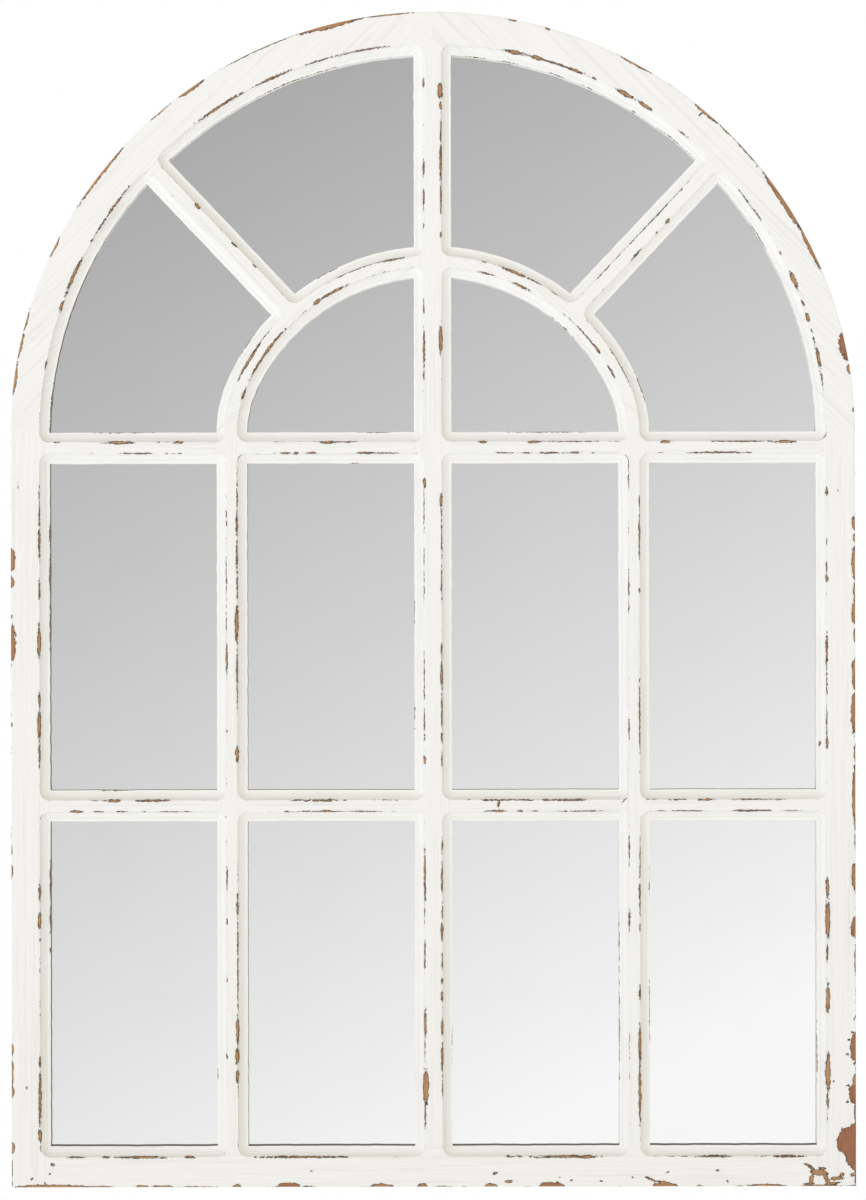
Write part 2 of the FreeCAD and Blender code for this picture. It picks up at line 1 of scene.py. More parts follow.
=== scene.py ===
"""Arched window mirror: a white painted timber window frame with fourteen mirror panes, dressed for looks.

The wooden boards are modelled here with their moulded edges, worn arrises and chipped paint. The panes, the
back panel, the hangers and the fasteners keep their own solids and get their finishes here.
Shapes are worked out in millimetres and written to the meshes in metres. x runs to the viewer's right,
z upwards, and the painted face looks along -y.
"""

import logging
import math
from dataclasses import dataclass, field
from enum import Enum
from typing import Callable, Iterable, Union

import bpy
import numpy as np
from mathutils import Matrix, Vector
from mathutils.geometry import delaunay_2d_cdt
from mathutils.kdtree import KDTree


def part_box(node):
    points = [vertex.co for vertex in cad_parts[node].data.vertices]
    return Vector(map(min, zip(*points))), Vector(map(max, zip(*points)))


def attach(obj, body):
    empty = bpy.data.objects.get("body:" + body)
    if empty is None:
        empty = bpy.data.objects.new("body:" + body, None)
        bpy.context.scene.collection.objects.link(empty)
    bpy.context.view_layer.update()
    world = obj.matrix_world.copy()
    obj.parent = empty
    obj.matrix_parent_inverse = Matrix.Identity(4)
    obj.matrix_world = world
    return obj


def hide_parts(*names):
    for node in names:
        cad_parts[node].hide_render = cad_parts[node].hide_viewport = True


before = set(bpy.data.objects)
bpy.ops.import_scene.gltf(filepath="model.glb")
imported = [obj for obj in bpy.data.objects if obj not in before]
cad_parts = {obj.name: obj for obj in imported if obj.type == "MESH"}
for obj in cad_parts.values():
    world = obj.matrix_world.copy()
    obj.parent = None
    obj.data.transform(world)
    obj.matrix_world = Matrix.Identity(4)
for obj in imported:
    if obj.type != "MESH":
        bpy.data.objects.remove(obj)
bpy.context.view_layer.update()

LOG = logging.getLogger("window_mirror")
MM = 0.001
MIRROR = np.array([-1.0, 1.0])

Points = np.ndarray
Sides = list[np.ndarray]


# ======================================================================================================
# Sizes and places
# ======================================================================================================

@dataclass(frozen=True)
class Sizes:
    """Driving sizes in millimetres that the boxes of the solids don't give."""

    cove_radius: float = 6.35
    cove_step: float = 3.0
    glass_rebate: float = 6.0
    panel_rebate: float = 16.0
    halving: float = 8.0
    crown_width: float = 40.5
    inner_rise: float = 149.75
    haunch_radius: float = 95.0
    fan_width: float = 30.5
    fan_angle: float = 46.6
    fan_drop: float = 29.0

    @property
    def cove_width(self) -> float:
        """Distance from a lip to the arris of its cove."""
        return self.cove_step + self.cove_radius


@dataclass(frozen=True)
class Detail:
    """How finely the boards are meshed, in millimetres."""

    outline: float = 1.0
    measure: float = 4.0
    column: float = 1.2
    membership: float = 5.0
    rebate: float = 6.0
    flat: float = 5.0
    chip: float = 0.9
    keep_off: float = 0.42
    corner_turn: float = 9.0


def span(node: str, axis: int) -> tuple[float, float]:
    """Lowest and highest place of a solid along an axis.

    Args:
        node: name of the solid.
        axis: 0, 1 or 2 for x, y or z.

    Returns:
        The two ends in millimetres.
    """
    low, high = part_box(node)
    return low[axis] / MM, high[axis] / MM


def segment_circle(half_span: float, rise: float) -> tuple[float, float]:
    """Centre above the chord, and radius, of the arc that rises so far over half its span."""
    radius = (half_span ** 2 + rise ** 2) / (2.0 * rise)
    return rise - radius, radius


def line(start: Iterable[float], end: Iterable[float], step: float) -> Points:
    """Samples from start towards end, without the end."""
    first, last = np.array(start, float), np.array(end, float)
    count = max(1, round(float(np.hypot(*(last - first))) / step))
    return first + np.outer(np.arange(count) / count, last - first)


def arc(centre: Iterable[float], radius: float, start: float, end: float, step: float) -> Points:
    """Samples round a circle from one angle in radians towards another, without the end."""
    count = max(2, round(abs(end - start) * radius / step))
    turn = start + (end - start) * np.arange(count) / count
    return np.array(centre, float) + radius * np.column_stack((np.cos(turn), np.sin(turn)))


def chain(corners: list[tuple[float, float]], step: float, closed: bool = True) -> Points:
    """Samples along straight lines from corner to corner."""
    ends = corners[1:] + corners[:1] if closed else corners[1:]
    return np.vstack([line(start, end, step) for start, end in zip(corners, ends)])


def side(*pieces: Points, end: Iterable[float]) -> Points:
    """One side of an opening: its pieces in a row and the corner that it ends on."""
    return np.vstack(pieces + (np.array([end], float),))


def mirrored(sides: Sides) -> Sides:
    """The sides of the opening opposite, still turning the same way."""
    return [np.flip(points, 0) * MIRROR for points in reversed(sides)]


class Layout:
    """Where every line of the window lies, in millimetres."""

    def __init__(self, sizes: Sizes) -> None:
        """Reads the boxes of the solids and works out the circles.

        Args:
            sizes: the sizes that the boxes don't give.
        """
        self.sizes = sizes
        self.lip, self.half = span("right_stile", 0)
        self.front, self.back = span("right_stile", 1)
        self.glass_front, self.glass_back = span("right_lower_inner_pane", 1)
        self.spring = span("right_stile", 2)[1]
        self.rail = span("bottom_rail", 2)[1]
        self.bar_low, self.bar_high = span("lower_bar", 2)
        self.transom_low = span("transom_bar", 2)[0]
        self.muntin_in, self.muntin_out = span("right_muntin", 0)
        self.mullion = span("centre_mullion", 0)[1]
        self.crown = span("right_arch", 2)[1]
        self.step_level = self.front + sizes.cove_radius
        self.halved_level = self.front + sizes.halving
        up, self.outer_radius = segment_circle(self.half, self.crown - self.spring)
        self.outer_centre = self.spring + up
        up, self.lip_radius = segment_circle(self.lip, self.crown - sizes.crown_width - self.spring)
        self.lip_centre = self.spring + up
        self.haunch_x = self.muntin_in - sizes.haunch_radius
        short = sizes.inner_rise - sizes.haunch_radius
        sink = (self.haunch_x ** 2 - short ** 2) / (2.0 * short)
        self.inner_radius = sizes.inner_rise + sink
        self.inner_centre = self.spring - sink
        self.turn = math.atan2(sink, self.haunch_x)
        self.band = self.muntin_out - self.muntin_in

    def bar_line(self, offset: float) -> tuple[Points, Points]:
        """A point and the direction of the right fan bar's centre line, moved sideways by offset."""
        angle = math.radians(self.sizes.fan_angle)
        along = np.array([math.cos(angle), math.sin(angle)])
        start = np.array([0.0, self.spring - self.sizes.fan_drop]) + offset * np.array([-along[1], along[0]])
        return start, along

    def meet(self, offset: float, centre: float, radius: float) -> Points:
        """Where that line leaves the circle about (0, centre)."""
        start, along = self.bar_line(offset)
        rel = start - np.array([0.0, centre])
        reach = -rel @ along + math.sqrt((rel @ along) ** 2 - rel @ rel + radius ** 2)
        return start + reach * along

    @staticmethod
    def angle(point: Points, centre: float) -> float:
        """Angle of a point about (0, centre)."""
        return math.atan2(point[1] - centre, point[0])

    def at_x(self, x: float, centre: float, radius: float) -> Points:
        """The upper point of the circle about (0, centre) at that x."""
        return np.array([x, centre + math.sqrt(radius ** 2 - x ** 2)])

    def rectangle(self, x_low: float, x_high: float, z_low: float, z_high: float, grow: float,
                  step: float) -> Sides:
        """The four sides of a rectangular opening, pushed outwards by grow."""
        corners = [(x_low - grow, z_low - grow), (x_high + grow, z_low - grow),
                   (x_high + grow, z_high + grow), (x_low - grow, z_high + grow)]
        return [side(line(start, end, step), end=end) for start, end in zip(corners, corners[1:] + corners[:1])]

    def quarter(self, grow: float, step: float) -> Sides:
        """The opening under the inner arch, right of the mullion."""
        x, z = self.mullion - grow, self.spring - grow
        haunch, crown = self.sizes.haunch_radius + grow, self.inner_radius + grow
        foot, top = (self.haunch_x + haunch, z), self.at_x(x, self.inner_centre, crown)
        leg = line(foot, (foot[0], self.spring), step) if grow else np.empty((0, 2))
        rim = np.vstack([leg, arc((self.haunch_x, self.spring), haunch, 0.0, self.turn, step),
                         arc((0.0, self.inner_centre), crown, self.turn, self.angle(top, self.inner_centre), step)])
        return [side(line((x, z), foot, step), end=foot), side(rim, end=top),
                side(line(top, (x, z), step), end=(x, z))]

    def centre_fan(self, grow: float, step: float) -> Sides:
        """The fan opening beside the mullion."""
        x, offset = self.mullion - grow, self.sizes.fan_width / 2.0 - grow
        outer, inner = self.lip_radius + grow, self.inner_radius + self.band - grow
        low_left, high_left = self.at_x(x, self.inner_centre, inner), self.at_x(x, self.lip_centre, outer)
        low_right = self.meet(offset, self.inner_centre, inner)
        high_right = self.meet(offset, self.lip_centre, outer)
        below = arc((0.0, self.inner_centre), inner, self.angle(low_left, self.inner_centre),
                    self.angle(low_right, self.inner_centre), step)
        above = arc((0.0, self.lip_centre), outer, self.angle(high_right, self.lip_centre),
                    self.angle(high_left, self.lip_centre), step)
        return [side(below, end=low_right), side(line(low_right, high_right, step), end=high_right),
                side(above, end=high_left), side(line(high_left, low_left, step), end=low_left)]

    def side_fan(self, grow: float, step: float) -> Sides:
        """The fan opening beside the stile."""
        z, offset = self.spring - grow, -(self.sizes.fan_width / 2.0 - grow)
        outer, inner = self.lip_radius + grow, self.inner_radius + self.band - grow
        haunch = self.sizes.haunch_radius + self.band - grow
        foot = (self.haunch_x + haunch, z)
        toe = (math.sqrt(outer ** 2 - (z - self.lip_centre) ** 2), z)
        high = self.meet(offset, self.lip_centre, outer)
        low = self.meet(offset, self.inner_centre, inner)
        above = arc((0.0, self.lip_centre), outer, self.angle(np.array(toe), self.lip_centre),
                    self.angle(high, self.lip_centre), step)
        leg = line((foot[0], self.spring), foot, step) if grow else np.empty((0, 2))
        rim = np.vstack([arc((0.0, self.inner_centre), inner, self.angle(low, self.inner_centre), self.turn, step),
                         arc((self.haunch_x, self.spring), haunch, self.turn, 0.0, step), leg])
        return [side(line(foot, toe, step), end=toe), side(above, end=high),
                side(line(high, low, step), end=low), side(rim, end=foot)]

    def right_openings(self, grow: float, step: float) -> list[Sides]:
        """The seven openings of the right half."""
        columns = ((self.mullion, self.muntin_in), (self.muntin_out, self.lip))
        rows = ((self.rail, self.bar_low), (self.bar_high, self.transom_low))
        grid = [self.rectangle(*column, *row, grow, step) for row in rows for column in columns]
        return grid + [self.quarter(grow, step), self.centre_fan(grow, step), self.side_fan(grow, step)]

    def openings(self, grow: float, step: float) -> list[Sides]:
        """All fourteen openings, right half first."""
        right = self.right_openings(grow, step)
        return right + [mirrored(sides) for sides in right]

    def outer_outline(self, step: float) -> Points:
        """The rim of the whole frame."""
        start = math.atan2(self.spring - self.outer_centre, self.half)
        sides_up = chain([(-self.half, self.spring), (-self.half, 0.0), (self.half, 0.0), (self.half, self.spring)],
                         step, closed=False)
        return np.vstack([sides_up, arc((0.0, self.outer_centre), self.outer_radius, start, math.pi - start, step)])

    def panel_outline(self, step: float) -> Points:
        """The rebate that the back panel lies in."""
        grow = self.sizes.panel_rebate
        x, z = self.lip + grow, self.rail - grow
        radius = self.lip_radius + grow
        start = math.atan2(self.spring - self.lip_centre, x)
        sides_up = chain([(-x, self.spring), (-x, z), (x, z), (x, self.spring)], step, closed=False)
        return np.vstack([sides_up, arc((0.0, self.lip_centre), radius, start, math.pi - start, step)])


# ======================================================================================================
# Distances in the plane of the face
# ======================================================================================================

def thinned(loop: Points) -> Points:
    """The loop without the points that lie on a straight run."""
    before, after = loop - np.roll(loop, 1, 0), np.roll(loop, -1, 0) - loop
    bend = np.abs(before[:, 0] * after[:, 1] - before[:, 1] * after[:, 0])
    return loop[bend > 1e-6]


def closed(sides: Sides) -> Points:
    """The sides of an opening as one loop."""
    return np.vstack([points[:-1] for points in sides])


def nearest_on(loop: Points, points: Points) -> tuple[Points, Points]:
    """Distance from each point to a loop.

    Args:
        loop: corners of the closed loop.
        points: the points to measure from.

    Returns:
        The distances and the nearest places on the loop.
    """
    best = np.full(len(points), np.inf)
    foot = np.zeros_like(points)
    for start, end in zip(loop, np.roll(loop, -1, 0)):
        run = end - start
        share = np.clip((points - start) @ run / (run @ run), 0.0, 1.0)
        place = start + share[:, None] * run
        gap = np.hypot(*(points - place).T)
        closer = gap < best
        best[closer] = gap[closer]
        foot[closer] = place[closer]
    return best, foot


def inside(points: Points, loop: Points) -> Points:
    """Which points lie inside a loop."""
    x, z = points.T
    hit = np.zeros(len(points), bool)
    for (x_a, z_a), (x_b, z_b) in zip(loop, np.roll(loop, -1, 0)):
        if z_a != z_b:
            crosses = (z_a > z) != (z_b > z)
            hit ^= crosses & (x < (x_b - x_a) * (z - z_a) / (z_b - z_a) + x_a)
    return hit


def smooth(value: Points, low: float, high: float) -> Points:
    """Rises smoothly from 0 at low to 1 at high."""
    share = np.clip((value - low) / (high - low), 0.0, 1.0)
    return share * share * (3.0 - 2.0 * share)


class Field:
    """Distances to the openings' lips and to the outer rim."""

    far = 40.0

    def __init__(self, layout: Layout, step: float) -> None:
        """Keeps the loops that distances are measured to."""
        self.loops = [thinned(closed(sides)) for sides in layout.openings(0.0, step)]
        self.rim = thinned(layout.outer_outline(step))

    def lips(self, points: Points) -> tuple[Points, Points]:
        """Distance to the nearest lip, and the number of its opening."""
        gap = np.full(len(points), self.far)
        which = np.full(len(points), -1)
        for number, loop in enumerate(self.loops):
            low, high = loop.min(0) - self.far, loop.max(0) + self.far
            near = np.flatnonzero(((points > low) & (points < high)).all(1))
            distance = nearest_on(loop, points[near])[0]
            closer = distance < gap[near]
            gap[near[closer]] = distance[closer]
            which[near[closer]] = number
        return gap, which

    def rims(self, points: Points) -> Points:
        """Distance to the outer rim."""
        return np.minimum(nearest_on(self.rim, points)[0], self.far)


# ======================================================================================================
# Wear: where the paint is chipped
# ======================================================================================================

class Edge(Enum):
    """Where a chip sits."""

    ARRIS = "arris"
    LIP = "lip"
    RIM = "rim"
    FACE = "face"


@dataclass(frozen=True)
class Chip:
    """A place where the paint has come off, in millimetres."""

    edge: Edge
    x: float
    z: float
    length: float
    width: float
    heading: float = 0.0


# Each chip: x, z, length along its edge and width.
ARRIS_CHIPS = (
    # outer arch, left quarter
    (-65, 1097, 42, 1.2), (-106, 1088, 30, 1.1), (-154, 1069, 36, 1.9), (-205, 1041, 52, 2.1),
    (-309, 943, 50, 1.4), (-347, 877, 42, 2.6), (-329, 912, 4, 1.6), (-358, 849, 12, 2.5), (-372, 793, 7, 1.0),
    # outer arch, right quarter
    (80, 1095, 17, 3.4), (101, 1089, 13, 2.8), (117, 1084, 60, 1.5), (138, 1077, 18, 2.3), (157, 1070, 5, 1.6),
    (188, 1055, 20, 3.3), (207, 1043, 15, 3.3), (243, 1017, 8, 1.3), (308, 947, 34, 0.9), (328, 895, 5, 1.4),
    (350, 873, 20, 3.5), (358, 851, 6, 1.8), (362, 837, 9, 3.1), (366, 824, 5, 1.6), (369, 815, 6, 1.4),
    (373, 799, 22, 2.8), (376, 779, 12, 1.5),
    # fan bars
    (-227, 944, 8, 3.6), (-190, 907, 7, 2.0), (-171, 888, 6, 1.6), (213, 932, 105, 0.9), (166, 884, 18, 1.0),
    (225, 931, 6, 3.0), (214, 920, 3, 2.0), (196, 899, 14, 1.8),
    # inner arch
    (-39, 895, 21, 2.1), (-71, 885, 42, 0.9), (-95, 862, 26, 2.4), (-111, 851, 10, 3.1), (-178, 797, 42, 3.2),
    (-163, 820, 15, 1.0), (-159, 802, 54, 2.4), (-181, 763, 11, 2.4), (51, 892, 5, 1.4), (80, 882, 27, 3.0),
    (98, 874, 14, 1.3), (118, 862, 9, 1.2), (51, 878, 14, 1.5), (85, 867, 19, 2.4), (150, 817, 33, 1.3),
    (159, 806, 8, 2.6), (172, 785, 12, 2.0), (182, 789, 35, 0.9),
    # mullion, left arris
    (-8.6, 1063, 8, 2.2), (-8.6, 981, 15, 2.2), (-8.6, 952, 15, 2.2), (-8.6, 925, 6, 1.2), (-8.6, 848, 12, 1.4),
    (-8.6, 807, 35, 2.4), (-8.6, 781, 9, 1.4), (-8.6, 678, 9, 3.0), (-8.6, 650, 35, 0.8), (-8.6, 591, 50, 0.7),
    (-8.6, 494, 44, 0.8), (-8.6, 444, 28, 1.2), (-8.6, 411, 9, 2.5), (-8.6, 301, 50, 2.1), (-8.6, 264, 24, 0.8),
    (-8.6, 222, 28, 1.3), (-8.6, 158, 28, 2.7), (-8.6, 132, 18, 1.0), (-8.6, 96, 34, 5.6), (-8.6, 69, 22, 1.8),
    # mullion, right arris
    (8.6, 1056, 15, 5.2), (8.6, 1041, 7, 2.6), (8.6, 1018, 28, 1.4), (8.6, 987, 35, 2.4), (8.6, 954, 28, 1.8),
    (8.6, 917, 5, 2.2), (8.6, 817, 28, 3.7), (8.6, 661, 14, 2.8), (8.6, 630, 44, 1.0), (8.6, 585, 24, 1.2),
    (8.6, 516, 16, 1.3), (8.6, 492, 27, 2.5), (8.6, 459, 32, 1.3), (8.6, 432, 10, 1.7), (8.6, 412, 13, 1.3),
    (8.6, 328, 12, 1.3), (8.6, 297, 28, 1.9), (8.6, 265, 14, 1.2), (8.6, 246, 16, 2.7), (8.6, 217, 16, 1.3),
    (8.6, 198, 6, 2.1), (8.6, 183, 10, 2.7), (8.6, 154, 16, 2.1), (8.6, 125, 26, 2.1), (8.6, 96, 15, 1.1),
    # transom, upper and lower arris
    (-362, 717.6, 6, 1.6), (-303, 717.6, 26, 3.0), (-264, 717.6, 4, 1.2), (-245, 717.6, 10, 2.6),
    (-101, 717.6, 18, 2.6), (-83, 717.6, 18, 1.1), (49, 717.6, 9, 2.5), (97, 717.6, 13, 2.5),
    (132, 717.6, 50, 0.8), (225, 717.6, 10, 2.9), (300, 717.6, 60, 1.2), (340, 717.6, 21, 2.8),
    (-295, 706.4, 10, 1.5), (-278, 706.4, 16, 1.7), (-256, 706.4, 4, 1.2), (-244, 706.4, 4, 1.2),
    (-142, 706.4, 10, 2.1), (-132, 706.4, 5, 2.1), (-116, 706.4, 10, 2.1), (-66, 706.4, 17, 2.1),
    (-46, 706.4, 24, 1.0), (69, 706.4, 16, 1.5), (89, 706.4, 9, 1.0), (114, 706.4, 20, 1.5),
    (137, 706.4, 9, 2.3), (155, 706.4, 3, 1.2), (273, 706.4, 50, 1.7), (305, 706.4, 5, 1.0),
    # left stile
    (-379, 655, 44, 1.0), (-379, 619, 28, 1.9), (-379, 574, 17, 1.5), (-379, 525, 30, 3.2), (-379, 469, 16, 1.5),
    (-379, 445, 27, 3.3), (-379, 418, 28, 1.6), (-379, 284, 15, 2.1), (-379, 257, 17, 3.1), (-379, 238, 3, 1.5),
    (-379, 121, 11, 1.9), (-379, 85, 53, 2.6), (-379, 50, 13, 3.4),
    # left muntin, left and right arris
    (-199, 647, 8, 1.5), (-199, 639, 4, 1.6), (-199, 585, 40, 0.8), (-199, 545, 25, 0.8), (-199, 510, 30, 2.3),
    (-199, 439, 3, 1.4), (-199, 297, 20, 1.3), (-199, 256, 6, 1.9), (-199, 199, 3, 1.2), (-199, 126, 4, 1.2),
    (-188, 665, 27, 0.9), (-188, 639, 26, 1.9), (-188, 609, 28, 1.9), (-188, 580, 30, 1.1), (-188, 542, 36, 3.4),
    (-188, 500, 34, 1.7), (-188, 472, 11, 0.8), (-188, 417, 15, 3.3), (-188, 280, 6, 1.5), (-188, 268, 16, 1.9),
    (-188, 215, 90, 1.0), (-188, 152, 28, 2.9), (-188, 126, 17, 3.5), (-188, 107, 12, 3.1),
    # right muntin, left and right arris
    (188, 691, 6, 1.0), (188, 680, 8, 1.0), (188, 577, 24, 1.1), (188, 559, 10, 1.0), (188, 442, 18, 1.0),
    (188, 325, 28, 1.2), (188, 256, 20, 1.7), (199, 661, 9, 1.5), (199, 627, 43, 1.5), (199, 574, 4, 1.4),
    (199, 453, 67, 1.4), (199, 399, 3, 1.2), (199, 317, 35, 1.0), (199, 285, 16, 2.1), (199, 269, 14, 1.3),
    (199, 250, 8, 1.5), (199, 185, 13, 2.1), (199, 136, 38, 2.9), (199, 89, 55, 2.7),
    # lower bar, upper and lower arris
    (-307, 372.6, 12, 2.9), (-270, 372.6, 33, 1.9), (-131, 372.6, 12, 1.3), (-107, 372.6, 27, 2.1),
    (-85, 372.6, 3, 1.3), (62, 372.6, 30, 1.3), (89, 372.6, 16, 1.1), (109, 372.6, 10, 1.5),
    (133, 372.6, 32, 1.9), (235, 372.6, 14, 1.0), (261, 372.6, 15, 2.1), (313, 372.6, 48, 1.1),
    (-343, 361.4, 13, 2.5), (-322, 361.4, 10, 1.5), (-301, 361.4, 9, 1.9), (-279, 361.4, 3, 1.1),
    (-248, 361.4, 30, 0.7), (-141, 361.4, 6, 1.5), (-107, 361.4, 45, 1.4), (-102, 361.4, 12, 2.3),
    (-67, 361.4, 29, 1.0), (60, 361.4, 19, 1.7), (65, 361.4, 7, 2.8), (84, 361.4, 6, 2.4), (98, 361.4, 9, 1.1),
    (142, 361.4, 50, 1.1), (221, 361.4, 9, 1.0), (246, 361.4, 28, 1.3), (307, 361.4, 34, 2.1),
    (346, 361.4, 13, 1.1),
    # bottom rail
    (-346, 29.1, 14, 1.3), (-316, 29.1, 7, 1.9), (-280, 29.1, 48, 2.1), (-235, 29.1, 9, 1.9),
    (-127, 29.1, 84, 1.7), (72, 29.1, 6, 1.5), (83, 29.1, 6, 1.3), (126, 29.1, 65, 2.1), (148, 29.1, 14, 2.8),
    (270, 29.1, 32, 1.7), (341, 29.1, 29, 1.9),
    # right stile
    (379, 669, 9, 2.1), (379, 620, 4, 1.1), (379, 597, 10, 1.0), (379, 585, 8, 2.8), (379, 514, 33, 2.1),
    (379, 484, 24, 1.1), (379, 448, 30, 0.9), (379, 427, 10, 2.7), (379, 287, 21, 3.1), (379, 257, 40, 4.2),
    (379, 226, 20, 1.5), (379, 181, 27, 3.8), (379, 109, 37, 4.8), (379, 83, 14, 2.6),
)

LIP_CHIPS = (
    (-135, 1065, 85, 1.0), (-101, 881, 18, 1.0), (-366, 751, 45, 1.0), (-179, 812, 20, 1.0), (-296, 727, 55, 1.0),
    (-56, 727, 28, 1.1), (-76, 697, 8, 1.0), (-369.5, 631, 16, 1.9), (-369.5, 591, 52, 1.5), (-369.5, 540, 50, 1.0),
    (-369.5, 295, 37, 1.5), (-369.5, 259, 34, 1.3), (-369.5, 228, 5, 1.5), (-208.5, 106, 10, 1.0),
    (-18, 552, 22, 1.1), (-18, 454, 25, 1.5), (-305, 382, 27, 1.0), (73, 1086, 16, 1.1), (44, 1091, 18, 1.0),
    (122, 1072, 15, 1.1), (153, 1061, 14, 1.2), (195, 1038, 5, 1.1), (234, 1008, 37, 0.9), (320, 917, 30, 0.9),
    (201, 769, 27, 1.7), (126, 829, 32, 1.0), (109, 727, 70, 1.0), (208.5, 291, 28, 1.0), (18, 138, 35, 1.0),
    (179, 235, 54, 0.9), (179, 150, 90, 0.9), (208.5, 169, 55, 0.9), (369.5, 123, 65, 0.9),
)

RIM_CHIPS = (
    # outer arch
    (-99, 1120, 60, 3.9), (-168, 1094, 78, 1.1), (-233, 1058, 27, 3.4), (-262, 1036, 22, 1.6), (-320, 977, 73, 2.6),
    (-366, 907, 20, 2.4), (-42, 1130, 46, 1.6), (-392, 835, 22, 1.9), (-398, 811, 28, 2.7), (-403, 779, 32, 2.9),
    (77, 1123, 9, 1.8), (111, 1114, 6, 2.3), (196, 1082, 32, 1.8), (266, 1036, 30, 2.6), (285, 1018, 18, 1.4),
    (306, 998, 40, 1.3), (338, 950, 75, 4.4), (366, 906, 48, 3.4), (397, 809, 28, 6.4), (403, 787, 10, 3.0),
    (406, 748, 4, 1.8),
    # left stile
    (-406, 604, 24, 4.5), (-406, 583, 12, 3.5), (-406, 524, 36, 4.9), (-406, 550, 4, 1.8), (-406, 446, 4, 1.6),
    (-406, 305, 13, 1.9), (-406, 325, 12, 1.1), (-406, 133, 11, 2.1), (-406, 108, 34, 1.9), (-406, 92, 12, 2.7),
    (-406, 38, 10, 3.4), (-406, 17, 24, 1.1),
    # bottom edge
    (-368, 0, 70, 2.9), (-321, 0, 26, 1.7), (-281, 0, 12, 2.1), (-261, 0, 20, 1.9), (-228, 0, 38, 0.9),
    (-190, 0, 9, 3.0), (-140, 0, 22, 4.5), (-122, 0, 14, 1.1), (-50, 0, 22, 3.3), (-11, 0, 10, 3.6),
    (8, 0, 14, 1.1), (55, 0, 13, 3.2), (113, 0, 27, 4.9), (222, 0, 24, 3.7), (256, 0, 6, 1.6), (320, 0, 37, 2.3),
    (372, 0, 36, 1.6),
    # right stile
    (406, 638, 13, 3.2), (406, 624, 8, 2.2), (406, 600, 33, 3.5), (406, 574, 17, 1.9), (406, 553, 24, 3.5),
    (406, 530, 14, 1.7), (406, 494, 33, 3.3), (406, 456, 44, 4.2), (406, 416, 17, 1.7), (406, 375, 60, 3.1),
    (406, 332, 18, 1.1), (406, 298, 28, 3.8), (406, 249, 22, 4.7), (406, 217, 30, 1.1), (406, 132, 28, 5.4),
    (406, 89, 20, 6.6), (406, 101, 14, 3.4), (406, 72, 40, 1.8), (406, 43, 33, 18.5),
    (406, 27, 22, 10.0), (406, 8, 22, 1.4),
)

# Each chip: x, z, length, width and the direction of its length in degrees above the horizontal.
FACE_CHIPS = (
    (258, 1032, 4, 2.0, 40), (-399, 676, 8, 1.0, 90), (-392, 96, 2.6, 1.8, 80), (-367, 22, 4.4, 2.6, -30),
    (-370, 13, 3, 1.8, 20), (-387, 8, 4, 2.4, 60), (-375, 4.5, 2, 1.4, 0), (-118, 15.5, 2, 1.3, 0),
    (63, 369, 7, 2.6, 80), (184, 372, 6, 1.4, 50), (390, 670, 2, 1.2, 0), (373, 426, 6, 2.2, 75),
    (405, 161, 4, 1.8, 60), (403, 148, 3, 2.0, 0), (400, 141, 2.6, 1.8, 0), (398, 127, 3, 1.8, 0),
    (399, 97, 3, 1.8, 0), (398, 81, 2.6, 1.8, 0), (385, 101, 1.8, 1.4, 0),
    (371, 13, 17, 6.0, -4), (363.5, 7, 13, 4.4, 80), (378, 7, 15, 4.4, -62), (360, 20.5, 8, 2.2, -18),
    (364, 17.5, 9, 2.4, -30), (361, 2, 12, 3.0, 0), (383, 2.5, 16, 2.8, 8), (375, 17, 9, 2.2, -10), (387, 7.5, 13, 3.6, 5), (393, 11, 5, 3.6, 20),
    (403, 11, 4.6, 3.2, 30), (59, 13, 4.4, 2.4, 15), (72, 5, 8, 2.8, 10), (121, 9, 3, 1.6, 0),
    (132, 6, 2.4, 1.4, 0), (161, 5.5, 3, 1.6, 10), (209, 7, 15, 2.2, -24), (221, 4, 12, 3.0, -10),
    (225, 13.5, 3.4, 1.6, 10), (273, 15.5, 3, 1.6, 0), (283, 5, 3, 1.8, 0), (191, 9, 2, 1.4, 0),
)


